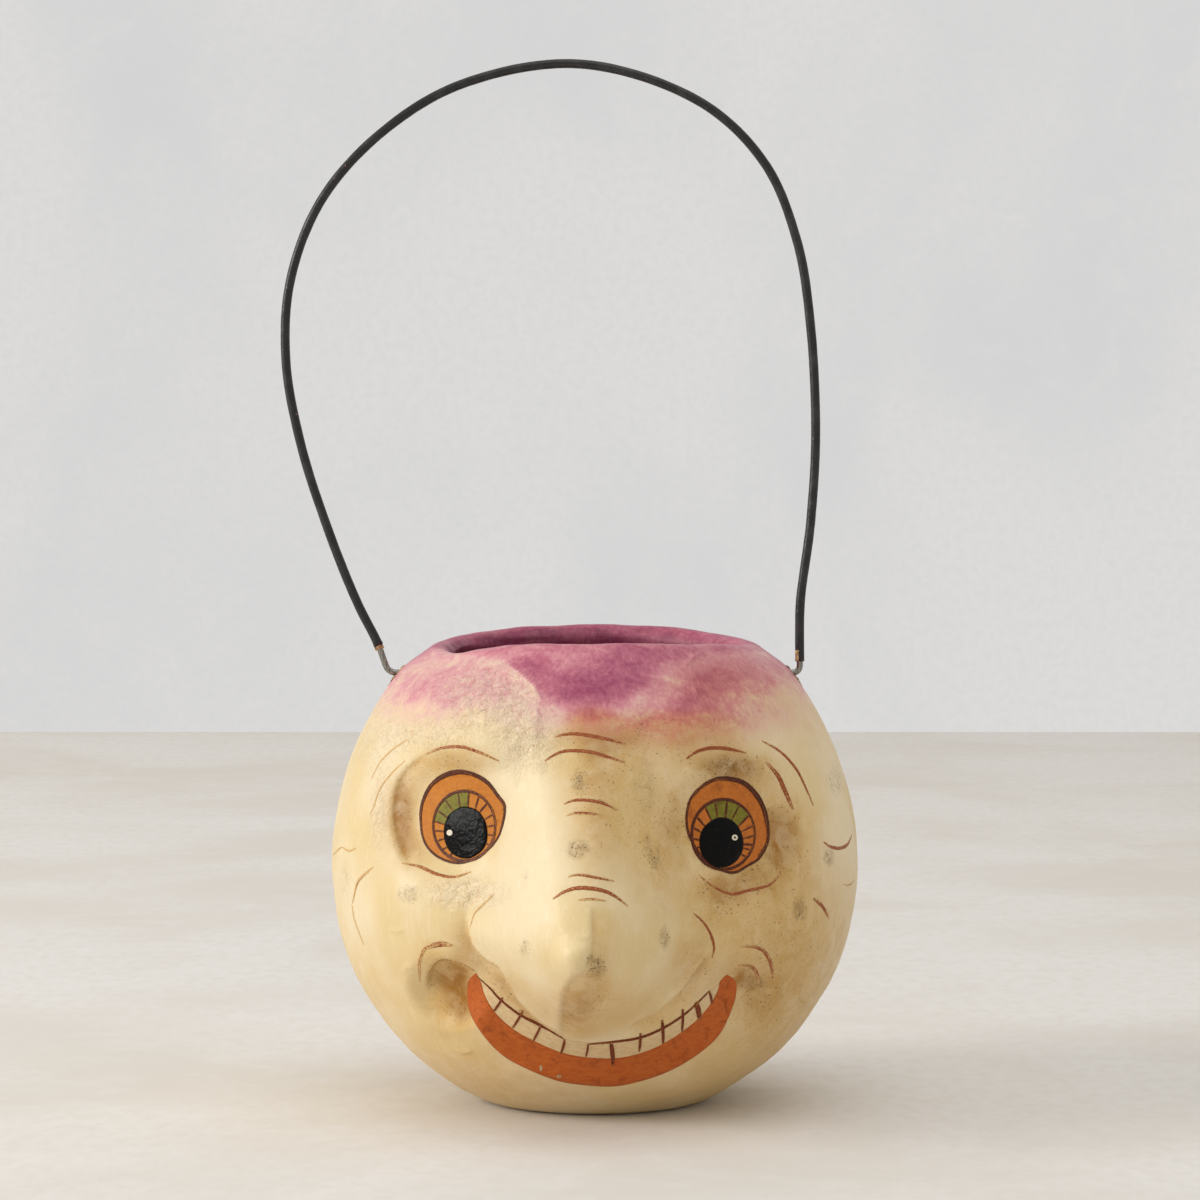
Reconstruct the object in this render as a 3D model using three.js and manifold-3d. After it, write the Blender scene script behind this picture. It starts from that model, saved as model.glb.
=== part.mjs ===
// Papier-mache turnip bucket with a smiling face and a paper-wrapped wire bail.
// Millimetres, +Z up. The origin is the centre of the flat foot, and the face looks towards -Y.
// Heights called rise are measured up from the turnip's widest ring.

import * as THREE from 'three';
import { mergeVertices } from 'three/addons/utils/BufferGeometryUtils.js';
import Module from 'manifold-3d';

const { cos, sin, hypot, PI } = Math;
const { degToRad, lerp, smoothstep } = THREE.MathUtils;

// Turnip: two half ellipses that meet at the widest ring, the lower one's tip cut off flat at the foot
const BELLY_RADIUS = 83.1;
const BELLY_HEIGHT = 74;
const CROWN_RISE = 93.6;
const ROOT_CUT_OFF = 7;
const WALL = 4;

// Mouth: a rolled lip under a folded paper band, lower at the two sides
const MOUTH_RADIUS = 45.3;
const LIP_ROLL = 4.3;
const LIP_SADDLE = 2.8;
const SADDLE_DEPTH = 12;
const BAND_THICKNESS = 1.1;
const BAND_SKIRT = 6.5;
const BAND_TUCK = degToRad(235);

// Joint of the two moulded halves, and the paper strip glued over it inside
const SEAM_Y = 12;
const TAPE_WIDTH = 18;
const TAPE_THICKNESS = 1;
const TAPE_BELOW_HOLES = 7;
const SEAT_GAP = 0.3;

// Wire bail, turning in two holes below the rim
const WIRE_RADIUS = 1;
const WRAP_INNER_RADIUS = 1.25;
const WRAP_RADIUS = 1.5;
const HOLE_CLEARANCE = 0.3;
const PIVOT_BELOW_RIM = 12.3;
const LEG_CLEARANCE = 0.55;
const HOOK_CLEARANCE = 3;
const HOOK_LENGTH = 8;
const BEND_RUN = 2.6;
const BARE_WIRE_LEFT = 6.5;
const BARE_WIRE_RIGHT = 0.6;
const LEFT_LEG_EXTRA = 0.5;

// Bail centreline: each leg from its pivot (outwards, up), then the arch (from the middle, up)
const LEFT_LEG = [
  [3.6, 9.8], [9.9, 22.4], [19.8, 47.7], [27.6, 72.9],
  [32, 98.1], [30.6, 123.4], [20.9, 148.6],
];
const ARCH = [[-67.8, 169.4], [-42.6, 184.9], [-4.7, 191.5], [33.1, 179.6]];
const RIGHT_LEG = [
  [-0.1, 9.8], [0.1, 22.4], [3.3, 47.7], [4.8, 76],
  [3, 110.7], [-1.2, 136], [-11.4, 160.4],
];

// Nose: its height off the turnip and its half-width, each at a rise
const NOSE_X = -2;
const NOSE_PROUD = [
  [-45, 0], [-39, 9], [-31, 21], [-23, 28], [-15, 30],
  [-4, 26.5], [12, 18], [28, 9.5], [42, 2.5], [52, 0],
];
const NOSE_HALF_WIDTH = [
  [-45, 10], [-39, 16], [-32, 23], [-23, 30], [-11, 37],
  [12, 29], [28, 22], [42, 18], [52, 15],
];
const NOSE_RIDGE_ROUNDING = 1.1;
const NOSE_FOOT_BLEND = 0.15;

// Crest from the forehead down the nose: its place across and its height, each at a rise,
// and how far it takes to fall away on each side
const CREST_X = [
  [-26, -3], [-10, -8.4], [2, -11.2], [21, -14.7],
  [45, -17.6], [56, -17.4], [62, -18.6], [68, -26],
];
const CREST_PROUD = [
  [-24, 0], [-12, 1.2], [5, 2.2], [30, 2.5],
  [58, 2.3], [68, 1.4], [74, 0],
];
const CREST_FALL_LEFT = 7;
const CREST_FALL_RIGHT = 16;
const CREST_ROUNDING = 0.8;

// Other forms of the face: centre (x, rise), reach (across, up) and how far each stands proud
const FACE_FORMS = [
  { form: 'left eye hollow', at: [-44, 20], reach: [25, 23], proud: -9.5 },
  { form: 'right eye hollow', at: [43, 18], reach: [25, 23], proud: -7.5 },
  { form: 'left eyeball', at: [-39.7, 22], reach: [15, 16], proud: 3 },
  { form: 'right eyeball', at: [39.8, 19.5], reach: [15, 16], proud: 3 },
  { form: 'left brow', at: [-37, 50], reach: [24, 16], proud: 5.5 },
  { form: 'right brow', at: [38, 50], reach: [24, 15], proud: 2.5 },
  { form: 'left cheek', at: [-50, -12], reach: [24, 22], proud: 3 },
  { form: 'right cheek', at: [50, -14], reach: [24, 22], proud: 2.5 },
  { form: 'left end of the smile', at: [-45, -32], reach: [14, 14], proud: -8 },
  { form: 'right end of the smile', at: [44, -30], reach: [13, 13], proud: -4.5 },
  { form: 'chin', at: [0, -60], reach: [34, 13], proud: 2 },
  { form: 'knob of the nose', at: [-5.8, -15], reach: [8, 8], proud: 3 },
];
const FORM_FULLNESS = 2.6;

// Smile: a groove along the lower part of a circle
const SMILE_CENTRE = [2, -14.6];
const SMILE_RADIUS = 39.5;
const SMILE_HALF_WIDTH = 7.5;
const SMILE_DEPTH = 2.5;
const SMILE_FADE = [-30, -12];

// Where the relief dies away: towards the sides (cosine of the azimuth), at the rim and at the foot
const SIDE_FADE = [0.08, 0.4];
const RIM_FADE = [-9, -2];
const FOOT_FADE = [1, 12];

// Facets
const BODY_SEGMENTS = 80;
const BAND_SEGMENTS = 54;
const FACE_CROWDING = 0.35;
const OUTSIDE_STEP = degToRad(4.7);
const INSIDE_STEP = degToRad(9);
const LIP_STEPS = 5;
const TUBE_QUARTER_STEPS = 2;
const BEND_STEPS = 4;
const ARCH_STEPS = 42;
const HOLE_SIDES = 16;

const wasm = await Module();
wasm.setup();

const rootDrop = BELLY_HEIGHT + ROOT_CUT_OFF;

// Point of the turnip's outline at an angle above its widest ring, moved inwards by a depth
function outline(angle, depth = 0) {
  const rise = angle > 0 ? CROWN_RISE : rootDrop;
  const normal = new THREE.Vector2(cos(angle) / BELLY_RADIUS, sin(angle) / rise).normalize();
  const point = new THREE.Vector2(BELLY_RADIUS * cos(angle), BELLY_HEIGHT + rise * sin(angle));
  return point.addScaledVector(normal, -depth);
}

// Argument between two bounds at which a falling function passes through zero
function crossing(falling, low, high) {
  let [below, above] = [low, high];
  for (let halving = 0; halving < 40; halving += 1) {
    const middle = (below + above) / 2;
    if (falling(middle) > 0) {
      below = middle;
    } else {
      above = middle;
    }
  }
  return (below + above) / 2;
}

const angleAtHeight = (height, depth) => crossing((angle) => height - outline(angle, depth).y, 0, PI / 2);
const radiusAtHeight = (height, depth) => outline(angleAtHeight(height, depth), depth).x;

const footAngle = -Math.asin(BELLY_HEIGHT / rootDrop);
const lipAngle = crossing((angle) => outline(angle, LIP_ROLL).x - LIP_ROLL - MOUTH_RADIUS, 0, PI / 2);
const lipCentre = outline(lipAngle, LIP_ROLL);
const lipNormal = outline(lipAngle).sub(lipCentre).angle();
const rimTop = lipCentre.y + LIP_ROLL;
const bandSeat = BAND_THICKNESS + SEAT_GAP;
const bandLedge = lipAngle - BAND_SKIRT / hypot(BELLY_RADIUS * sin(lipAngle), CROWN_RISE * cos(lipAngle));

// Outline points from one angle to another at a depth, in steps no longer than the one given
function outlineRun(from, to, depth, step) {
  const steps = Math.max(1, Math.round(Math.abs(to - from) / step));
  return Array.from({ length: steps + 1 }, (_, i) => outline(lerp(from, to, i / steps), depth));
}

// Points round the rolled lip, from one direction to another, at a radius from its centre
function lipRun(from, to, radius) {
  const arc = new THREE.EllipseCurve(lipCentre.x, lipCentre.y, radius, radius, from, to, to < from);
  return arc.getPoints(LIP_STEPS);
}

// Smooth value at a place among [place, value] stops
function follow(stops, place) {
  const last = stops.length - 1;
  if (place <= stops[0][0]) {
    return stops[0][1];
  }
  if (place >= stops[last][0]) {
    return stops[last][1];
  }
  const i = stops.findIndex(([stop]) => stop > place) - 1;
  const slope = (a, b) => (stops[b][1] - stops[a][1]) / (stops[b][0] - stops[a][0]);
  const span = stops[i + 1][0] - stops[i][0];
  const t = (place - stops[i][0]) / span;
  const leaving = slope(Math.max(i - 1, 0), i + 1) * span;
  const arriving = slope(i, Math.min(i + 2, last)) * span;
  const rest = 1 - t;
  const ends = stops[i][1] * rest * rest * (1 + 2 * t) + stops[i + 1][1] * t * t * (3 - 2 * t);
  return ends + leaving * t * rest * rest - arriving * t * t * rest;
}

// Height of the nose off the turnip at a place on the face
function nose(x, rise) {
  const across = Math.min(1, Math.abs(x - NOSE_X) / follow(NOSE_HALF_WIDTH, rise));
  const rounded = hypot(across, NOSE_RIDGE_ROUNDING) - NOSE_RIDGE_ROUNDING;
  const full = hypot(1, NOSE_RIDGE_ROUNDING) - NOSE_RIDGE_ROUNDING;
  const flank = 1 - rounded / full;
  return follow(NOSE_PROUD, rise) * flank * lerp(1, flank, NOSE_FOOT_BLEND);
}

// Height of the crest at a place on the face
function crest(x, rise) {
  const aside = x - follow(CREST_X, rise);
  const reach = aside < 0 ? CREST_FALL_LEFT : CREST_FALL_RIGHT;
  const fall = (hypot(aside, CREST_ROUNDING) - CREST_ROUNDING) / reach;
  return follow(CREST_PROUD, rise) * Math.exp(-fall);
}

// Depth of the smile's groove at a place on the face, as a negative height
function smile(x, rise) {
  const offCurve = (hypot(x - SMILE_CENTRE[0], rise - SMILE_CENTRE[1]) - SMILE_RADIUS) / SMILE_HALF_WIDTH;
  const inGroove = Math.max(0, 1 - offCurve * offCurve) ** 2;
  return -SMILE_DEPTH * inGroove * (1 - smoothstep(rise, ...SMILE_FADE));
}

// Height of the whole face off the turnip at a place on it
function relief(x, z) {
  const rise = z - BELLY_HEIGHT;
  let proud = nose(x, rise) + crest(x, rise) + smile(x, rise);
  for (const { at, reach, proud: height } of FACE_FORMS) {
    const off = hypot((x - at[0]) / reach[0], (rise - at[1]) / reach[1]);
    proud += height * Math.max(0, 1 - off ** FORM_FULLNESS) ** 2;
  }
  const calm = (1 - smoothstep(z - rimTop, ...RIM_FADE)) * smoothstep(z, ...FOOT_FADE);
  return proud * calm;
}

// Turned body of a closed profile, with the face pressed into it and the rim lowered at the sides
function pressed(profile, segments) {
  const geometry = new THREE.LatheGeometry(profile, segments).rotateX(PI / 2);
  const places = geometry.attributes.position;
  for (let i = 0; i < places.count; i += 1) {
    const [x, y, z] = [places.getX(i), places.getY(i), places.getZ(i)];
    const radius = hypot(x, y);
    const even = Math.atan2(x, -y);
    const azimuth = even - FACE_CROWDING * sin(even);
    const across = radius * sin(azimuth);
    const proud = relief(across, z) * smoothstep(cos(azimuth), ...SIDE_FADE);
    const dip = LIP_SADDLE * sin(azimuth) ** 2 * smoothstep(z, rimTop - SADDLE_DEPTH, rimTop);
    places.setXYZ(i, across, -radius * cos(azimuth) - proud, z - dip);
  }
  return toSolid(geometry);
}

// Solid of a closed geometry
function toSolid(geometry) {
  geometry.deleteAttribute('normal');
  geometry.deleteAttribute('uv');
  const merged = mergeVertices(geometry, 1e-4);
  const corners = merged.index.array;
  const kept = [];
  for (let i = 0; i < corners.length; i += 3) {
    const [a, b, c] = corners.slice(i, i + 3);
    if (a !== b && b !== c && c !== a) {
      kept.push(a, b, c);
    }
  }
  const vertProperties = new Float32Array(merged.attributes.position.array);
  const triVerts = new Uint32Array(kept);
  return new wasm.Manifold(new wasm.Mesh({ numProp: 3, vertProperties, triVerts }));
}

// Geometry of a solid
function toGeometry(solid) {
  const { vertProperties, triVerts } = solid.getMesh();
  const geometry = new THREE.BufferGeometry();
  geometry.setAttribute('position', new THREE.BufferAttribute(vertProperties, 3));
  geometry.setIndex(new THREE.BufferAttribute(triVerts, 1));
  return geometry;
}

// Solid slab across the whole object between two places along Y
function slab(fromY, toY) {
  const reach = 4 * (BELLY_RADIUS + CROWN_RISE);
  return toSolid(new THREE.BoxGeometry(reach, toY - fromY, reach).translate(0, (fromY + toY) / 2, 0));
}

// Moulded turnip, whole: outside, ledge for the band, lip, inside and floor
function turnip() {
  const rollRadius = LIP_ROLL - bandSeat;
  const insideTop = angleAtHeight(lipCentre.y - rollRadius, WALL);
  const inside = outlineRun(insideTop, footAngle, WALL, INSIDE_STEP);
  const floor = new THREE.Vector2(0, inside.at(-1).y);
  return pressed([
    new THREE.Vector2(0, 0),
    ...outlineRun(footAngle, bandLedge, 0, OUTSIDE_STEP),
    ...outlineRun(bandLedge, lipAngle, bandSeat, OUTSIDE_STEP).slice(0, -1),
    ...lipRun(lipNormal, 1.5 * PI, rollRadius),
    ...inside,
    floor,
  ], BODY_SEGMENTS);
}

// Paper band folded over the lip
function rimBand() {
  const skirtEnd = bandLedge + SEAT_GAP / CROWN_RISE;
  const over = [
    ...outlineRun(skirtEnd, lipAngle, 0, OUTSIDE_STEP).slice(0, -1),
    ...lipRun(lipNormal, BAND_TUCK, LIP_ROLL),
  ];
  const under = [
    ...lipRun(BAND_TUCK, lipNormal, LIP_ROLL - BAND_THICKNESS).slice(0, -1),
    ...outlineRun(lipAngle, skirtEnd, BAND_THICKNESS, OUTSIDE_STEP),
  ];
  return pressed([...over, ...under, over[0]], BAND_SEGMENTS);
}

// Paper strip over the joint inside, from below one hole, under the floor and up to the other
function seamTape() {
  const nearDepth = WALL + SEAT_GAP;
  const farDepth = nearDepth + TAPE_THICKNESS;
  const top = angleAtHeight(pivotHeight - TAPE_BELOW_HOLES, nearDepth);
  const near = outlineRun(footAngle, top, nearDepth, INSIDE_STEP);
  const far = outlineRun(top, footAngle, farDepth, INSIDE_STEP);
  const strip = pressed([
    new THREE.Vector2(0, near[0].y),
    ...near,
    ...far,
    new THREE.Vector2(0, far.at(-1).y),
  ], BODY_SEGMENTS);
  return strip.intersect(slab(SEAM_Y - TAPE_WIDTH / 2, SEAM_Y + TAPE_WIDTH / 2));
}

// Line through given stations, so that a tube along it has one ring at each station
class StationLine extends THREE.Curve {
  constructor(stations) {
    super();
    this.stations = stations;
    this.last = stations.length - 1;
  }

  getUtoTmapping(u) {
    return u;
  }

  getPoint(t, target = new THREE.Vector3()) {
    return target.copy(this.stations[Math.round(t * this.last)]);
  }

  getTangent(t, target = new THREE.Vector3()) {
    const at = Math.round(t * this.last);
    const here = this.stations[at];
    const arriving = here.clone().sub(this.stations[Math.max(at - 1, 0)]).normalize();
    const leaving = this.stations[Math.min(at + 1, this.last)].clone().sub(here).normalize();
    return target.addVectors(arriving, leaving).normalize();
  }
}

// Round tube along stations, with a bore if a bore radius is given
function tube(stations, radius, boreRadius = 0) {
  const section = new THREE.Shape().absarc(0, 0, radius, 0, 2 * PI, false);
  if (boreRadius > 0) {
    section.holes.push(new THREE.Path().absarc(0, 0, boreRadius, 0, 2 * PI, true));
  }
  const extrudePath = new StationLine(stations);
  const steps = stations.length - 1;
  return new THREE.ExtrudeGeometry(section, { steps, extrudePath, curveSegments: TUBE_QUARTER_STEPS * 2 });
}

const pivotHeight = rimTop - PIVOT_BELOW_RIM;
const hookX = radiusAtHeight(pivotHeight, WALL) - HOOK_CLEARANCE - WIRE_RADIUS;
const legX = radiusAtHeight(pivotHeight, 0) + LEG_CLEARANCE + WRAP_RADIUS;
const leftLegX = legX + LEFT_LEG_EXTRA;

// Point of the bail: across from the middle, up from the pivots
const bailPoint = (x, up) => new THREE.Vector3(x, 0, pivotHeight + up);

// Rounded bend of the wire at a corner between two straight runs
function bend(before, corner, after) {
  const start = corner.clone().add(before.clone().sub(corner).setLength(BEND_RUN));
  const end = corner.clone().add(after.clone().sub(corner).setLength(BEND_RUN));
  return new THREE.QuadraticBezierCurve3(start, corner, end).getPoints(BEND_STEPS);
}

// Free part of the bail, from the left elbow over the arch to the right elbow
const leftElbow = bailPoint(-leftLegX, 0);
const rightElbow = bailPoint(legX, 0);
const leftLeg = LEFT_LEG.map(([out, up]) => bailPoint(-leftLegX - out, up));
const rightLeg = RIGHT_LEG.map(([out, up]) => bailPoint(legX + out, up));
const arch = ARCH.map(([x, up]) => bailPoint(x, up));
const leftBend = bend(bailPoint(-hookX, 0), leftElbow, leftLeg[0]);
const rightBend = bend(rightLeg[0], rightElbow, bailPoint(hookX, 0));
const handle = new THREE.CatmullRomCurve3(
  [leftBend.at(-1), ...leftLeg, ...arch, ...rightLeg.toReversed(), rightBend[0]],
  false,
  'centripetal',
);
const handleLength = handle.getLength();
const wrapStart = BARE_WIRE_LEFT / handleLength;
const wrapEnd = 1 - BARE_WIRE_RIGHT / handleLength;
const wrapStations = Array.from({ length: ARCH_STEPS + 1 }, (_, i) => (
  handle.getPointAt(lerp(wrapStart, wrapEnd, i / ARCH_STEPS))
));

// Wire from the left hook, out through its hole, over the arch and back in to the right hook
const wireStations = [
  bailPoint(-hookX, -HOOK_LENGTH),
  ...bend(bailPoint(-hookX, -HOOK_LENGTH), bailPoint(-hookX, 0), leftElbow),
  ...leftBend,
  ...wrapStations,
  ...rightBend,
  ...bend(rightElbow, bailPoint(hookX, 0), bailPoint(hookX, -HOOK_LENGTH)),
  bailPoint(hookX, -HOOK_LENGTH),
];

const bucket = new THREE.Group();

// Adds one named sub-part
function add(name, geometry, color, roughness, metalness = 0) {
  const mesh = new THREE.Mesh(geometry, new THREE.MeshStandardMaterial({ color, roughness, metalness }));
  mesh.name = name;
  bucket.add(mesh);
}

const whole = turnip();
const farAway = 4 * BELLY_RADIUS;
const holeRadius = WIRE_RADIUS + HOLE_CLEARANCE;
const holes = toSolid(new THREE.CylinderGeometry(holeRadius, holeRadius, 2 * BELLY_RADIUS, HOLE_SIDES)
  .rotateZ(PI / 2)
  .translate(0, 0, pivotHeight));

const faceHalf = whole.intersect(slab(-farAway, SEAM_Y - SEAT_GAP / 2)).subtract(holes);
const backHalf = whole.intersect(slab(SEAM_Y + SEAT_GAP / 2, farAway));

add('face_shell', toGeometry(faceHalf), 0xe6d3a3, 0.6);
add('back_shell', toGeometry(backHalf), 0xdcc791, 0.6);
add('seam_tape', toGeometry(seamTape()), 0xb08d5c, 0.85);
add('rim_band', toGeometry(rimBand()), 0xa55a8c, 0.6);
add('bail_wire', tube(wireStations, WIRE_RADIUS), 0x9a9a98, 0.4, 1);
add('bail_wrap', tube(wrapStations, WRAP_RADIUS, WRAP_INNER_RADIUS), 0x1d1b1b, 0.5);

export default bucket;
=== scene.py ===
"""Dressed model of a papier-mache turnip bucket: painted shell, folded rim, seam strip and wrapped bail.

The model is in metres, +Z up, with the face towards -Y. Sizes inside the classes are in millimetres.
"""

import logging
import math
import random
from dataclasses import dataclass, field
from enum import Enum
from typing import Optional, Sequence, Union

import bpy
import numpy as np
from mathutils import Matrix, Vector, noise
from mathutils.bvhtree import BVHTree

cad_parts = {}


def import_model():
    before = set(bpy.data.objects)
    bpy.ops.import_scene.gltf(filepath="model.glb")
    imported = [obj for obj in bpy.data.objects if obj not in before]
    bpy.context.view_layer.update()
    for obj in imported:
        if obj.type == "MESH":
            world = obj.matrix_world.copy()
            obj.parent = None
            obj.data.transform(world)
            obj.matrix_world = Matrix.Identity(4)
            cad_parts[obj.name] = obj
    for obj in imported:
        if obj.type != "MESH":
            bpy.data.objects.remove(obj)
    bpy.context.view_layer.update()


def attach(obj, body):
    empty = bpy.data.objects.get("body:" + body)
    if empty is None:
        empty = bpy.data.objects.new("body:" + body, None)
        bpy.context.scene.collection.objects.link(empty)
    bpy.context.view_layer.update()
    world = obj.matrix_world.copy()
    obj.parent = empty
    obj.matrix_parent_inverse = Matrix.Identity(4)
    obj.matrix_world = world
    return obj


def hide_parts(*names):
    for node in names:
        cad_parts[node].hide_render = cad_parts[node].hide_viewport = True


LOG = logging.getLogger("turnip_bucket")
MM = 0.001
CURVE_STEPS = 24
OUTLINE_SAMPLES = 4001

Array = np.ndarray
Pair = tuple[float, float]
Pixel = Pair
Triple = tuple[float, float, float]
Stops = tuple[Pair, ...]
Material = bpy.types.Material
Socket = bpy.types.NodeSocket
Shade = Union[str, Socket]
Amount = Union[float, Socket]


class Body(Enum):
    """Bodies that the pieces ride on."""

    BUCKET = "bucket"
    BAIL = "bail"


class Slot(Enum):
    """Names of material slots, handed to each piece's making but not used there."""

    PAINTED = "painted_paper"
    PURPLE = "purple_paper"
    KRAFT = "kraft_paper"
    WIRE = "bare_wire"
    BLACK = "black_paper"


class Side(Enum):
    """Sides of the bucket as seen from the front, with their sign along X."""

    LEFT = -1
    RIGHT = 1


def smoothstep(value: Array, low: float, high: float) -> Array:
    """Smooth rise from 0 to 1 between two values.

    Args:
        value: Numbers to place on the rise.
        low: Where the rise starts.
        high: Where it ends.

    Returns:
        The rise at each number.
    """
    t = np.clip((value - low) / (high - low), 0.0, 1.0)
    return t * t * (3.0 - 2.0 * t)


def mottle(points: Array, size: float, seed: float,
           stretch: Sequence[float] = (1, 1, 1)) -> Array:
    """Smooth noise between about -1 and 1.

    Args:
        points: Places in millimetres, as (..., 3).
        size: Size of its patches in millimetres.
        seed: Offset that makes one noise differ from another.
        stretch: Factor on each axis, under 1 where patches are longer.

    Returns:
        The noise at each place.
    """
    spots = points / size * np.asarray(stretch) + seed
    values = [noise.noise(spot) for spot in spots.reshape(-1, 3).tolist()]
    return np.array(values).reshape(points.shape[:-1])


def distances(points: Array) -> Array:
    """How far along a line each of its points lies."""
    return np.concatenate([[0.0], np.cumsum(np.linalg.norm(np.diff(points, axis=0), axis=1))])


def spaced(points: Array, count: int) -> Array:
    """Evenly spaced points along a line of points, as (count, dimensions)."""
    along = distances(points)
    wanted = np.linspace(0.0, along[-1], count)
    return np.column_stack([np.interp(wanted, along, column) for column in points.T])


def even_curve(stops: Sequence[Sequence[float]], count: int) -> Array:
    """Evenly spaced points on a smooth curve through given stops.

    Args:
        stops: Points that the curve passes through, in two or three dimensions.
        count: How many points to return.

    Returns:
        The points, as (count, dimensions).
    """
    knots = np.asarray(stops, dtype=float)
    knots = np.vstack([2 * knots[0] - knots[1], knots, 2 * knots[-1] - knots[-2]])
    gaps = np.linalg.norm(np.diff(knots, axis=0), axis=1) ** 0.5
    t = np.linspace(0.0, 1.0, CURVE_STEPS, endpoint=False)[:, None]
    runs = []
    for i in range(1, len(knots) - 2):
        before, start, end, after = knots[i - 1:i + 3]
        lead, span, trail = gaps[i - 1:i + 2]
        leaving = ((start - before) / lead - (end - before) / (lead + span) + (end - start) / span) * span
        arriving = ((end - start) / span - (after - start) / (span + trail) + (after - end) / trail) * span
        runs.append(
            start * (1 + t * t * (2 * t - 3)) + end * t * t * (3 - 2 * t)
            + leaving * t * (1 - t) ** 2 - arriving * t * t * (1 - t)
        )
    return spaced(np.vstack([*runs, knots[-2]]), count)


def grid_normals(grid: Array, closed: bool) -> Array:
    """Unit normals of a grid of points.

    Args:
        grid: Points as (rows, columns, 3).
        closed: Whether the last column meets the first.

    Returns:
        The normals, pointing to the right of the rows' direction as the columns run.
    """
    down = np.gradient(grid, axis=0)
    if closed:
        across = np.roll(grid, -1, axis=1) - np.roll(grid, 1, axis=1)
    else:
        across = np.gradient(grid, axis=1)
    normals = np.cross(across, down)
    lengths = np.linalg.norm(normals, axis=-1, keepdims=True)
    return normals / np.maximum(lengths, 1e-12)


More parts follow.
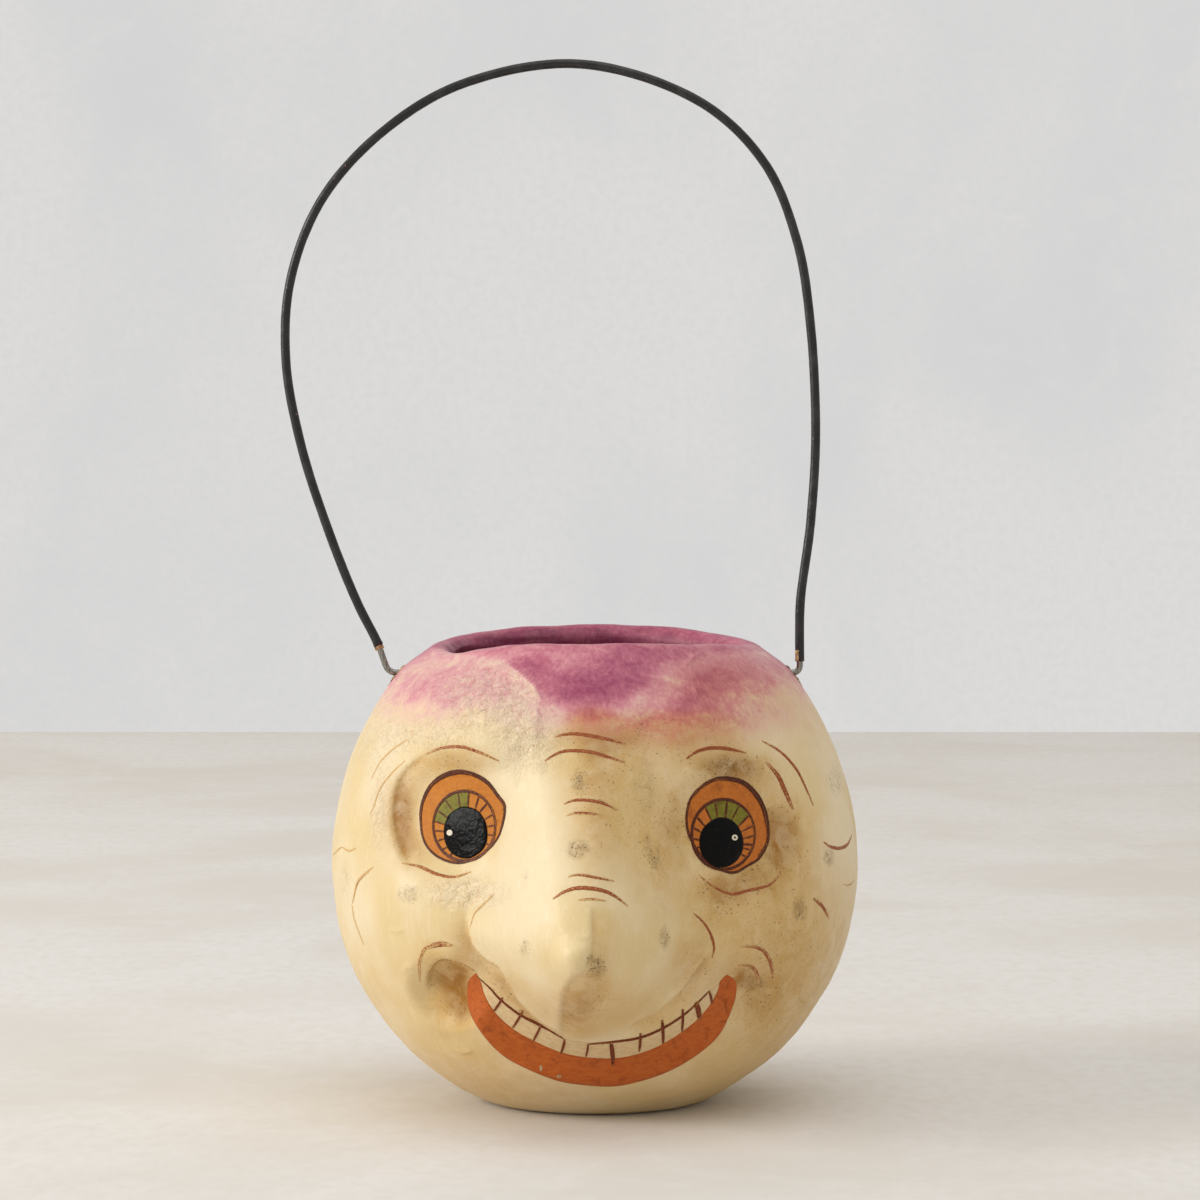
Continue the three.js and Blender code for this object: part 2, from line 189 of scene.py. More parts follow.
@dataclass
class Mesh:
    """Points and faces of one piece, in millimetres, gathered from several closed shells."""

    points: list[Array] = field(default_factory=list)
    faces: list[tuple[int, ...]] = field(default_factory=list)
    flat: list[bool] = field(default_factory=list)
    values: dict[str, list[Array]] = field(default_factory=dict)
    count: int = 0

    def add(self, points: Array, faces: list[tuple[int, ...]], flat: list[bool],
            **values: Array) -> None:
        """Adds one closed shell.

        Args:
            points: Its points, as (n, 3).
            faces: Its faces, numbered from its first point.
            flat: For each face, whether it is shaded flat.
            **values: Numbers kept on the points under a name.
        """
        self.faces += [tuple(i + self.count for i in face) for face in faces]
        self.flat += flat
        self.points.append(points)
        for name, numbers in values.items():
            self.values.setdefault(name, []).append(numbers)
        self.count += len(points)

    def add_film(self, top: Array, under: Array, **values: Array) -> None:
        """Adds a closed film between two grids of points.

        Args:
            top: Its outer side, as (rows, columns, 3).
            under: Its inner side, of the same shape.
            **values: Numbers for the grid's points under a name.
        """
        rows, columns = top.shape[:2]
        size = rows * columns
        index = np.arange(size).reshape(rows, columns)
        quads = np.stack([index[:-1, :-1], index[1:, :-1], index[1:, 1:], index[:-1, 1:]], -1)
        quads = quads.reshape(-1, 4)
        edge = np.concatenate([index[0, :-1], index[:-1, -1], index[-1, :0:-1], index[:0:-1, 0]])
        after = np.roll(edge, -1)
        walls = np.column_stack([edge, after, after + size, edge + size])
        normal = np.cross(top[1, 0] - top[0, 0], top[0, 1] - top[0, 0])
        outwards = float(np.dot(normal, top[0, 0] - under[0, 0])) > 0
        back = quads[:, ::-1] + size
        faces = [quads, back, walls] if outwards else [quads[:, ::-1], back[:, ::-1], walls[:, ::-1]]
        flat = [False] * len(quads) + [True] * (len(quads) + len(walls))
        points = np.vstack([top.reshape(-1, 3), under.reshape(-1, 3)])
        doubled = {name: np.tile(np.asarray(numbers).ravel(), 2) for name, numbers in values.items()}
        joined = [tuple(face) for part in faces for face in part.tolist()]
        self.add(points, joined, flat, **doubled)

    def add_ring(self, grid: Array, first_cap: Optional[Array] = None,
                 last_cap: Optional[Array] = None, loop: bool = False, edges: Sequence[int] = (),
                 **values: Array) -> None:
        """Adds a turned or tubular shell, whose columns run round it.

        Args:
            grid: Its points as (rows, columns, 3).
            first_cap: Point that closes the first row, if it is closed by one.
            last_cap: Point that closes the last row.
            loop: Whether the last row meets the first.
            edges: Rows after which a sharp edge face follows, shaded flat.
            **values: Numbers for the grid's points under a name.
        """
        rows, columns = grid.shape[:2]
        index = np.arange(rows * columns).reshape(rows, columns)
        if loop:
            index = np.vstack([index, index[:1]])
        right = np.roll(index, -1, axis=1)
        quads = np.stack([index[:-1], right[:-1], right[1:], index[1:]], -1).reshape(-1, 4)
        faces = [tuple(face) for face in quads.tolist()]
        flat = [row in edges for row in range(len(index) - 1) for _ in range(columns)]
        points = [grid.reshape(-1, 3)]
        numbers = {name: [np.asarray(kept).ravel()] for name, kept in values.items()}
        for cap, row, turned in ((first_cap, index[0], True), (last_cap, index[-1], False)):
            if cap is None:
                continue
            centre = sum(len(part) for part in points)
            points.append(np.asarray(cap, dtype=float)[None])
            ends = np.roll(row, -1)
            pairs = zip(ends.tolist(), row.tolist()) if turned else zip(row.tolist(), ends.tolist())
            faces += [(centre, a, b) for a, b in pairs]
            for name, kept in values.items():
                numbers[name].append(np.asarray(kept).reshape(rows, columns)[0 if turned else -1, :1])
        flat += [False] * (len(faces) - len(flat))
        joined = {name: np.concatenate(parts) for name, parts in numbers.items()}
        self.add(np.vstack(points), faces, flat, **joined)

    def make(self, name: str, material: Material, body: Body = Body.BUCKET,
             slot: Slot = Slot.PAINTED) -> bpy.types.Object:
        """Makes the piece as an object that rides on its body.

        Args:
            name: The piece's name.
            material: Its finish.
            body: The body that it rides on.
            slot: The material slot that its finish stands for; not used.

        Returns:
            The object.
        """
        data = bpy.data.meshes.new(name)
        data.from_pydata((np.vstack(self.points) * MM).tolist(), [], self.faces)
        data.polygons.foreach_set("use_smooth", [not flat for flat in self.flat])
        for key, parts in self.values.items():
            data.attributes.new(key, "FLOAT", "POINT").data.foreach_set("value", np.concatenate(parts))
        data.materials.append(material)
        data.update()
        piece = bpy.data.objects.new(name, data)
        bpy.context.collection.objects.link(piece)
        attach(piece, body.value)
        LOG.info("%s: %d points, rides on %s", name, self.count, body.value)
        return piece


@dataclass(frozen=True)
class Viewpoint:
    """The photograph's camera: its place in metres, its tilt, and its focal length in pixels."""

    place: Triple = (0.0016, -1.450, 0.2347)
    tilt: float = math.radians(3.013)
    focal: float = 4597.0
    frame: float = 1200.0
    sensor: float = 36.0
    clip: Pair = (0.05, 30.0)

    def ray(self, pixel: Sequence[float]) -> Vector:
        """Direction in which the camera sees a pixel."""
        across = (pixel[0] - self.frame / 2) / self.focal
        up = (self.frame / 2 - pixel[1]) / self.focal
        cosine, sine = math.cos(self.tilt), math.sin(self.tilt)
        return Vector((across, cosine + up * sine, up * cosine - sine)).normalized()

    def pixels(self, points: Array) -> Array:
        """Pixels at which points are seen.

        Args:
            points: Places in millimetres, as (..., 3).

        Returns:
            The pixels, as (..., 2).
        """
        rel = points * MM - np.asarray(self.place)
        cosine, sine = math.cos(self.tilt), math.sin(self.tilt)
        depth = rel[..., 1] * cosine - rel[..., 2] * sine
        up = rel[..., 1] * sine + rel[..., 2] * cosine
        half = self.frame / 2
        return np.stack([half + self.focal * rel[..., 0] / depth, half - self.focal * up / depth], -1)

    def make_camera(self) -> None:
        """Makes the scene's camera."""
        data = bpy.data.cameras.new("camera")
        data.sensor_width = self.sensor
        data.lens = self.focal / self.frame * self.sensor
        data.clip_start, data.clip_end = self.clip
        camera = bpy.data.objects.new("camera", data)
        camera.location = self.place
        camera.rotation_euler = (math.pi / 2 - self.tilt, 0.0, 0.0)
        bpy.context.collection.objects.link(camera)
        bpy.context.scene.camera = camera


class Recipe:
    """Node tree of one finish."""

    def __init__(self, name: str, fixed: dict[str, object]) -> None:
        """Starts a material.

        Args:
            name: The material's name.
            fixed: Values set on the shader's own sockets.
        """
        self.material = bpy.data.materials.new(name)
        self.material.use_nodes = True
        self.tree = self.material.node_tree
        self.shader = self.tree.nodes["Principled BSDF"]
        self.place: Optional[Socket] = None
        for socket, value in fixed.items():
            self.shader.inputs[socket].default_value = linear(value) if isinstance(value, str) else value

    def node(self, kind: str, **settings: object) -> bpy.types.Node:
        """Adds a node with its settings."""
        node = self.tree.nodes.new(f"ShaderNode{kind}")
        for name, value in settings.items():
            setattr(node, name, value)
        return node

    def join(self, value: Union[Shade, Amount], socket: Socket) -> None:
        """Sets a socket to a colour or number, or links it to another socket."""
        if isinstance(value, bpy.types.NodeSocket):
            self.tree.links.new(value, socket)
        elif isinstance(value, str):
            socket.default_value = linear(value)
        else:
            socket.default_value = value

    def coordinates(self, stretch: Sequence[float]) -> Socket:
        """Object coordinates, scaled on each axis."""
        if self.place is None:
            self.place = self.node("TexCoord").outputs["Object"]
        mapping = self.node("Mapping")
        mapping.inputs["Scale"].default_value = stretch
        self.join(self.place, mapping.inputs["Vector"])
        return mapping.outputs["Vector"]

    def clouds(self, size: float, detail: float = 2.0, stretch: Sequence[float] = (1, 1, 1),
               warp: float = 0.0) -> Socket:
        """Noise between 0 and 1.

        Args:
            size: Size of its patches in millimetres.
            detail: How many finer layers it has.
            stretch: Factor on each axis, under 1 where patches are longer.
            warp: How far it is distorted.

        Returns:
            The noise.
        """
        texture = self.node("TexNoise")
        texture.inputs["Scale"].default_value = 1.0 / (size * MM)
        texture.inputs["Detail"].default_value = detail
        texture.inputs["Distortion"].default_value = warp
        self.join(self.coordinates(stretch), texture.inputs["Vector"])
        return texture.outputs[0]

    def kept(self, name: str) -> Socket:
        """Number kept on the mesh's points under a name."""
        return self.node("Attribute", attribute_name=name).outputs["Fac"]

    def sum(self, kind: str, a: Amount, b: Amount = 0.0, clamp: bool = False) -> Socket:
        """Result of one sum of two numbers, such as ADD or SUBTRACT."""
        node = self.node("Math", operation=kind, use_clamp=clamp)
        self.join(a, node.inputs[0])
        self.join(b, node.inputs[1])
        return node.outputs[0]

    def times(self, a: Amount, b: Amount) -> Socket:
        """Product of two numbers."""
        return self.sum("MULTIPLY", a, b)

    def between(self, value: Amount, low: Amount, high: Amount, start: float = 0.0,
                end: float = 1.0) -> Socket:
        """Value that goes smoothly from start to end as another goes from low to high."""
        node = self.node("MapRange", interpolation_type="SMOOTHSTEP")
        inputs = {"Value": value, "From Min": low, "From Max": high, "To Min": start, "To Max": end}
        for name, number in inputs.items():
            self.join(number, node.inputs[name])
        return node.outputs["Result"]

    def mix(self, factor: Amount, a: Shade, b: Shade, blend: str = "MIX") -> Socket:
        """Mix of two colours, on the sockets that the mix node keeps for colours."""
        node = self.node("Mix", data_type="RGBA", blend_type=blend, clamp_factor=True)
        for socket, value in ((0, factor), (6, a), (7, b)):
            self.join(value, node.inputs[socket])
        return node.outputs[2]

    def ramp(self, factor: Amount, stops: Sequence[tuple[float, str]]) -> Socket:
        """Colour that runs through given stops."""
        node = self.node("ValToRGB")
        elements = node.color_ramp.elements
        elements[0].position, elements[1].position = stops[0][0], stops[-1][0]
        elements[0].color, elements[1].color = linear(stops[0][1]), linear(stops[-1][1])
        for position, colour in stops[1:-1]:
            elements.new(position).color = linear(colour)
        self.join(factor, node.inputs[0])
        return node.outputs[0]

    def relief(self, height: Amount, depth: float, strength: float = 1.0) -> None:
        """Bumps the surface by a height.

        Args:
            height: Number between 0 and 1.
            depth: Millimetres that it stands for.
            strength: Share of the bump that shows.
        """
        bump = self.node("Bump")
        bump.inputs["Distance"].default_value = depth * MM
        bump.inputs["Strength"].default_value = strength
        self.join(height, bump.inputs["Height"])
        before = self.shader.inputs["Normal"]
        if before.is_linked:
            self.join(before.links[0].from_socket, bump.inputs["Normal"])
        self.join(bump.outputs["Normal"], before)

    def finish(self, colour: Shade, roughness: Optional[Amount] = None) -> Material:
        """Sets the shader's colour and roughness and returns the material."""
        self.join(colour, self.shader.inputs["Base Color"])
        if roughness is not None:
            self.join(roughness, self.shader.inputs["Roughness"])
        return self.material


def linear(colour: str) -> tuple[float, float, float, float]:
    """Linear colour of a hex colour."""
    parts = [int(colour[i:i + 2], 16) / 255 for i in (1, 3, 5)]
    return tuple(c / 12.92 if c <= 0.04045 else ((c + 0.055) / 1.055) ** 2.4 for c in parts) + (1.0,)


@dataclass(frozen=True)
class TurnipPaint:
    """Cream paint, purple over the crown, ochre antiquing in hollows, painted shade and highlights, and a
    satin coat.
    """

    cream: str = "#EEDAB2"
    warm_cream: str = "#E6CD98"
    brushed: str = "#F6E8CC"
    # Ochre of the antiquing, also laid on as painted shade on the shaded side.
    light_ochre: str = "#C99A48"
    dark_ochre: str = "#A06A16"
    pore: str = "#6B4A22"
    haze: str = "#80602D"
    valley: str = "#CFA06C"
    speck: str = "#3D2A12"
    # Lighter colour on crinkled tissue, a painted highlight.
    crinkle_highlight: str = "#F8E6CB"
    # Dark purple inside the mouth under the lip, painted shade.
    neck_shade: str = "#521A30"
    # Brown tint of the purple where antiquing and painted shade lie.
    glaze_shade_tint: str = "#E2B98C"
    wash: tuple[tuple[float, str], ...] = (
        (0.0, "#EBCDB8"), (0.25, "#E9BDB6"), (0.5, "#DA969C"), (0.75, "#BF6C7F"), (1.0, "#9C3F62"),
    )
    raw_paper: str = "#A78A66"
    raw_paper_dark: str = "#7D6245"

    def make(self) -> Material:
        """Makes the material."""
        r = Recipe("turnip_paint", {"Specular IOR Level": 0.35})
        streaks = r.clouds(1.3, 3, (1, 1, 0.08), 0.4)
        warmer = r.between(r.clouds(34, 2), 0.38, 0.66)
        body = r.mix(warmer, self.cream, self.warm_cream)
        body = r.mix(r.between(streaks, 0.5, 0.78, 0, 0.3), body, self.brushed)
        # Ochre antiquing in the hollows, partly painted shade on the shaded side, low down and beside the
        # forms.
        glaze_and_shade = r.kept("glaze_and_shade")
        uneven = r.between(r.clouds(6, 4, warp=0.6), 0.3, 0.7, 0.7, 1.1)
        tone = r.mix(r.between(glaze_and_shade, 0.55, 0.95), self.light_ochre, self.dark_ochre)
        glazed_and_shaded = r.mix(r.times(glaze_and_shade, uneven), body, tone)
        pores = r.between(r.clouds(0.75, 2), 0.63, 0.7)
        pores = r.times(pores, r.between(glaze_and_shade, 0.25, 0.75, 0, 0.75))
        glazed_and_shaded = r.mix(pores, glazed_and_shaded, self.pore)
        speckle = r.kept("speckle")
        torn = r.times(speckle, r.between(r.clouds(3.4, 4, warp=1.2), 0.3, 0.62, 0.45, 1.3))
        glazed_and_shaded = r.mix(r.between(torn, 0.1, 1.0, 0, 0.42), glazed_and_shaded, self.haze)
        edge = r.sum("SUBTRACT", 0.7, r.times(torn, 0.13))
        specks = r.between(r.clouds(0.5, 2, warp=0.5), edge, r.sum("ADD", edge, 0.04))
        specks = r.times(specks, r.between(speckle, 0.02, 0.25, 0, 0.85))
        purple = r.kept("purple")
        crinkled = r.kept("crinkle")
        wiped = r.sum("SUBTRACT", r.clouds(8, 4, (1, 1, 1.6), 1.0), 0.5)
        grain = r.sum("SUBTRACT", r.clouds(0.9, 3, (0.5, 0.5, 1.2)), 0.5)
        brushed = r.sum("SUBTRACT", r.clouds(1.6, 4, (1.4, 1.4, 0.22), 0.6), 0.5)
        loose = r.between(purple, 0.0, 0.45)
        stirred = r.sum("ADD", r.times(wiped, 0.5), r.times(grain, 0.16))
        stirred = r.sum("ADD", stirred, r.times(brushed, 0.42))
        purple = r.sum("ADD", purple, r.times(stirred, loose), clamp=True)
        tissue = r.clouds(1.3, 4, warp=1.0)
        # Painted highlight: crinkled tissue is lightened.
        washed = r.mix(r.between(crinkled, 0.3, 1.0, 0, 0.22), glazed_and_shaded, self.crinkle_highlight)
        fresh = r.ramp(purple, self.wash)
        # Painted shade: the purple is browned where the antiquing and painted shade lie.
        tinted_wash = r.mix(1.0, fresh, self.glaze_shade_tint, "MULTIPLY")
        glazed_and_shaded_wash = r.mix(r.between(glaze_and_shade, 0.1, 0.7, 0, 0.9), fresh, tinted_wash)
        washed = r.mix(r.between(purple, 0.0, 0.5), washed, glazed_and_shaded_wash)
        # Painted shade inside the mouth, broken into darker folds.
        folded = r.between(r.clouds(4.5, 4, (0.6, 0.6, 1.6), 0.8), 0.35, 0.62, 0.25, 1.0)
        washed = r.mix(r.times(r.kept("neck_shade"), folded), washed, self.neck_shade)
        valleys = r.between(tissue, 0.36, 0.5, 1, 0)
        valleys = r.times(valleys, r.between(crinkled, 0.25, 0.9, 0, 0.34))
        washed = r.mix(valleys, washed, r.mix(1.0, washed, self.valley, "MULTIPLY"))
        washed = r.mix(specks, washed, self.speck)
        # Painted highlight along the ridges of crinkled tissue; the same ridges are bumped below.
        off_ridge = r.sum("ABSOLUTE", r.sum("SUBTRACT", r.clouds(2.4, 4, warp=1.4), 0.5))
        ridges = r.sum("SUBTRACT", 1.0, r.times(off_ridge, 9.0), clamp=True)
        on_ridge = r.times(ridges, r.between(crinkled, 0.3, 1.0, 0, 0.25))
        washed = r.mix(on_ridge, washed, self.crinkle_highlight)
        darker = r.between(r.clouds(11, 3, warp=1.5), 0.4, 0.62)
        colour = r.mix(r.kept("inside"), washed, r.mix(darker, self.raw_paper, self.raw_paper_dark))
        r.relief(r.clouds(0.8, 3), 0.05, 0.6)
        r.relief(streaks, 0.05, 0.5)
        r.relief(r.times(tissue, crinkled), 0.26, 0.9)
        r.relief(r.times(ridges, crinkled), 0.2, 0.9)
        sheen = r.between(r.clouds(3, 2), 0.3, 0.7, 0.36, 0.5)
        return r.finish(colour, r.sum("ADD", sheen, r.times(r.kept("inside"), 0.4)))


@dataclass(frozen=True)
class BrushedPaint:
    """Opaque paint laid with a brush, with streaks and a few darker smudges."""

    name: str
    base: str
    streak: str
    smudge: str
    roughness: float = 0.45
    smudged: float = 0.6
    bump: float = 0.03

    def make(self) -> Material:
        """Makes the material."""
        r = Recipe(self.name, {"Specular IOR Level": 0.18})
        streaks = r.clouds(0.9, 3, (0.35, 1, 1), 0.5)
        colour = r.mix(r.between(streaks, 0.35, 0.7), self.base, self.streak)
        spots = r.between(r.clouds(3.2, 4, warp=0.8), 0.52, 0.72, 0, self.smudged)
        colour = r.mix(spots, colour, self.smudge)
        r.relief(streaks, self.bump)
        worn = r.between(r.clouds(2, 2), 0.3, 0.7, self.roughness - 0.05, self.roughness + 0.07)
        return r.finish(colour, worn)


@dataclass(frozen=True)
class BrushInk:
    """Brown line paint, thin where the brush ran dry."""

    name: str = "brown_brush_paint"
    full: str = "#8C4327"
    thin: str = "#AA6335"
    dry: str = "#D9B479"
    roughness: float = 0.48

    def make(self) -> Material:
        """Makes the material."""
        r = Recipe(self.name, {"Specular IOR Level": 0.2, "Roughness": self.roughness})
        load = r.kept("load")
        bristles = r.clouds(0.5, 3, warp=0.4)
        colour = r.mix(r.between(bristles, 0.35, 0.65), self.full, self.thin)
        gaps = r.sum("SUBTRACT", r.sum("ADD", bristles, 0.42), load)
        colour = r.mix(r.between(gaps, 0.05, 0.45), colour, self.dry)
        r.relief(bristles, 0.03)
        return r.finish(colour)


@dataclass(frozen=True)
class GlossBlack:
    """Thick glossy black paint with a crinkled skin."""

    base: str = "#0B0A0A"
    dust: str = "#2A2724"

    def make(self) -> Material:
        """Makes the material."""
        r = Recipe("gloss_black_paint", {"Specular IOR Level": 0.1, "Roughness": 0.1})
        colour = r.mix(r.between(r.clouds(1.2, 4), 0.6, 0.85), self.base, self.dust)
        r.relief(r.clouds(1.6, 4, warp=0.6), 0.2)
        return r.finish(colour)


@dataclass(frozen=True)
class BlackWrap:
    """Black satin paint on tightly rolled paper, with a few chips down to the tan paper."""

    black: str = "#0E0D0D"
    worn: str = "#2B2827"
    chip: str = "#8A6248"

    def make(self) -> Material:
        """Makes the material."""
        r = Recipe("black_wrap", {"Specular IOR Level": 0.55})
        grain = r.clouds(0.7, 4)
        colour = r.mix(r.between(r.clouds(6, 4), 0.45, 0.75), self.black, self.worn)
        colour = r.mix(r.between(r.clouds(2.4, 3), 0.74, 0.77), colour, self.chip)
        r.relief(grain, 0.08)
        r.relief(r.clouds(5, 2), 0.25)
        return r.finish(colour, r.between(grain, 0.3, 0.7, 0.3, 0.46))


@dataclass(frozen=True)
class TornPaper:
    """Bare tan paper with torn fibres."""

    name: str = "torn_paper"
    light: str = "#D3B48A"
    dark: str = "#8C6A45"

    def make(self) -> Material:
        """Makes the material."""
        r = Recipe(self.name, {"Specular IOR Level": 0.25, "Roughness": 0.85})
        fibres = r.clouds(0.6, 4, (1, 1, 0.4), 0.8)
        colour = r.mix(r.between(fibres, 0.35, 0.68), self.light, self.dark)
        r.relief(fibres, 0.15)
        return r.finish(colour)


@dataclass(frozen=True)
class KraftStrip:
    """Gummed kraft paper with a faint grain and darker glue stains."""

    light: str = "#B08E60"
    dark: str = "#8B6A42"
    stain: str = "#6E5233"

    def make(self) -> Material:
        """Makes the material."""
        r = Recipe("kraft_strip", {"Specular IOR Level": 0.3, "Roughness": 0.8})
        grain = r.clouds(0.8, 3, (0.3, 1, 0.3))
        colour = r.mix(r.between(grain, 0.35, 0.65), self.light, self.dark)
        colour = r.mix(r.between(r.clouds(9, 4, warp=1), 0.5, 0.7, 0, 0.6), colour, self.stain)
        r.relief(grain, 0.06)
        r.relief(r.clouds(6, 3), 0.4, 0.6)
        return r.finish(colour)


@dataclass(frozen=True)
class DrawnSteel:
    """Drawn steel wire, dull, with die lines along it and brown specks."""

    bright: str = "#A8A49C"
    dull: str = "#77736B"
    rust: str = "#6A4F38"

    def make(self) -> Material:
        """Makes the material."""
        r = Recipe("drawn_steel", {"Metallic": 1.0})
        lines = r.clouds(0.25, 2, (1, 1, 0.05))
        colour = r.mix(r.between(lines, 0.3, 0.7), self.bright, self.dull)
        rust = r.between(r.clouds(1.4, 4), 0.56, 0.66, 0, 0.7)
        colour = r.mix(rust, colour, self.rust)
        r.relief(lines, 0.02)
        return r.finish(colour, r.between(rust, 0, 0.7, 0.3, 0.6))


@dataclass(frozen=True)
class Blot:
    """Soft oval on the face, in pixels of the photograph's frame."""

    at: Pixel
    reach: Pixel
    strength: float

    def weight(self, pixels: Array) -> Array:
        """Strength of the blot at given pixels."""
        off = ((pixels - np.asarray(self.at)) / np.asarray(self.reach)) ** 2
        return self.strength * np.clip(1.0 - off.sum(-1), 0.0, 1.0) ** 1.5


def blots(*rows: tuple[float, ...]) -> tuple[Blot, ...]:
    """Blots from rows of their middle, reach and strength."""
    return tuple(Blot((x, y), (across, down), strength) for x, y, across, down, strength in rows)


def blotted(blots: Sequence[Blot], pixels: Array) -> Array:
    """Joint strength of several blots, from 0 to 1."""
    clear = np.ones(pixels.shape[:-1])
    for blot in blots:
        clear = clear * (1.0 - blot.weight(pixels))
    return 1.0 - clear


@dataclass(frozen=True)
class Bulge:
    """Rounded form of the face: centre (x, rise), reach (across, up) and how far it stands proud."""

    at: Pair
    reach: Pair
    proud: float


@dataclass(frozen=True)
class TurnipForm:
    """Shape of the moulded turnip, in millimetres. A rise is measured up from its widest ring."""

    belly_radius: float = 83.1
    belly_height: float = 74.0
    crown_rise: float = 93.6
    root_cut_off: float = 7.0
    wall: float = 4.0
    mouth_radius: float = 45.3
    lip_roll: float = 4.3
    lip_saddle: float = 2.8
    saddle_depth: float = 12.0
    nose_x: float = -2.0
    nose_proud: Stops = (
        (-45, 0), (-39, 9), (-31, 21), (-23, 28), (-15, 30), (-4, 26.5), (12, 18), (28, 9.5), (42, 2.5),
        (52, 0),
    )
    nose_half_width: Stops = (
        (-45, 10), (-39, 16), (-32, 23), (-23, 30), (-11, 37), (12, 29), (28, 22), (42, 18), (52, 15),
    )
    nose_ridge_rounding: float = 1.1
    nose_foot_blend: float = 0.15
    crest_x: Stops = (
        (-26, -3), (-10, -8.4), (2, -11.2), (21, -14.7), (45, -17.6), (56, -17.4), (62, -18.6), (68, -26),
    )
    crest_proud: Stops = (
        (-24, 0), (-12, 1.2), (5, 2.2), (30, 2.5), (58, 2.3), (68, 1.4), (74, 0),
    )
    crest_fall: Pair = (7.0, 16.0)
    crest_rounding: float = 0.8
    bulges: tuple[Bulge, ...] = (
        Bulge((-44, 20), (25, 23), -9.5), Bulge((43, 18), (25, 23), -7.5),
        Bulge((-39.7, 22), (15, 16), 3), Bulge((39.8, 19.5), (15, 16), 3),
        Bulge((-37, 50), (24, 16), 5.5), Bulge((38, 50), (24, 15), 2.5),
        Bulge((-50, -12), (24, 22), 3),
        Bulge((50, -14), (24, 22), 2.5), Bulge((-45, -32), (14, 14), -8),
        Bulge((44, -30), (13, 13), -4.5), Bulge((0, -60), (34, 13), 2),
        Bulge((-5.8, -15), (8, 8), 3),
    )
    smile_centre: Pair = (2.0, -14.6)
    smile_radius: float = 39.5
    smile_half_width: float = 7.5
    smile_depth: float = 2.5
    smile_fade: Pair = (-30.0, -12.0)
    side_fade: Pair = (0.08, 0.4)
    rim_fade: Pair = (-9.0, -2.0)
    foot_fade: Pair = (1.0, 12.0)
    bulge_fullness: float = 2.6
    face_crowding: float = 0.35
    pivot_height: float = 135.38
    hole_radius: float = 1.3

    def outline(self, angle: Array, depth: Union[float, Array] = 0.0) -> Array:
        """Outline's points (radius, height) at angles above the widest ring, moved inwards by a depth."""
        angle = np.asarray(angle, dtype=float)
        rise = np.where(angle > 0, self.crown_rise, self.belly_height + self.root_cut_off)
        normal = np.stack([np.cos(angle) / self.belly_radius, np.sin(angle) / rise], -1)
        normal /= np.linalg.norm(normal, axis=-1, keepdims=True)
        point = np.stack([self.belly_radius * np.cos(angle), self.belly_height + rise * np.sin(angle)], -1)
        return point - normal * np.asarray(depth)[..., None]

    @property
    def foot_angle(self) -> float:
        """Angle at which the outline meets the foot."""
        return -math.asin(self.belly_height / (self.belly_height + self.root_cut_off))

    @property
    def lip_angle(self) -> float:
        """Angle at which the outline meets the rolled lip."""
        angles = np.linspace(0.0, math.pi / 2, 40001)
        inner = self.outline(angles, self.lip_roll)[:, 0] - self.lip_roll
        return float(angles[np.argmax(inner < self.mouth_radius)])

    @property
    def lip_centre(self) -> Array:
        """Centre of the lip's roll."""
        return self.outline(self.lip_angle, self.lip_roll)

    @property
    def lip_normal(self) -> float:
        """Direction in which the roll meets the outline."""
        away = self.outline(self.lip_angle) - self.lip_centre
        return math.atan2(away[1], away[0])

    @property
    def rim_top(self) -> float:
        """Height of the rim."""
        return float(self.lip_centre[1]) + self.lip_roll

    @staticmethod
    def follow(stops: Sequence[Sequence[float]], place: Array) -> Array:
        """Smooth value at places among (place, value) stops."""
        at, value = np.asarray(stops, dtype=float).T
        slope = np.empty_like(value)
        slope[1:-1] = (value[2:] - value[:-2]) / (at[2:] - at[:-2])
        slope[0] = (value[1] - value[0]) / (at[1] - at[0])
        slope[-1] = (value[-1] - value[-2]) / (at[-1] - at[-2])
        i = np.clip(np.searchsorted(at, place, side="right") - 1, 0, len(at) - 2)
        span = at[i + 1] - at[i]
        t = np.clip((place - at[i]) / span, 0.0, 1.0)
        rest = 1.0 - t
        ends = value[i] * rest * rest * (1 + 2 * t) + value[i + 1] * t * t * (3 - 2 * t)
        return ends + slope[i] * span * t * rest * rest - slope[i + 1] * span * t * t * rest

    def relief(self, x: Array, z: Array) -> Array:
        """Height of the face off the turnip at places on it."""
        rise = z - self.belly_height
        rounding = self.nose_ridge_rounding
        across = np.minimum(1.0, np.abs(x - self.nose_x) / self.follow(self.nose_half_width, rise))
        flank = 1.0 - (np.hypot(across, rounding) - rounding) / (math.hypot(1.0, rounding) - rounding)
        proud = self.follow(self.nose_proud, rise) * flank * (1.0 + (flank - 1.0) * self.nose_foot_blend)
        aside = x - self.follow(self.crest_x, rise)
        fall = np.hypot(aside, self.crest_rounding) - self.crest_rounding
        fall = fall / np.where(aside < 0, *self.crest_fall)
        proud = proud + self.follow(self.crest_proud, rise) * np.exp(-fall)
        off = np.hypot(x - self.smile_centre[0], rise - self.smile_centre[1]) - self.smile_radius
        groove = np.clip(1.0 - (off / self.smile_half_width) ** 2, 0.0, 1.0) ** 2
        proud = proud - self.smile_depth * groove * (1.0 - smoothstep(rise, *self.smile_fade))
        for bulge in self.bulges:
            far = np.hypot((x - bulge.at[0]) / bulge.reach[0], (rise - bulge.at[1]) / bulge.reach[1])
            proud = proud + bulge.proud * np.clip(1.0 - far ** self.bulge_fullness, 0.0, 1.0) ** 2
        return proud * (1.0 - smoothstep(z - self.rim_top, *self.rim_fade)) * smoothstep(z, *self.foot_fade)

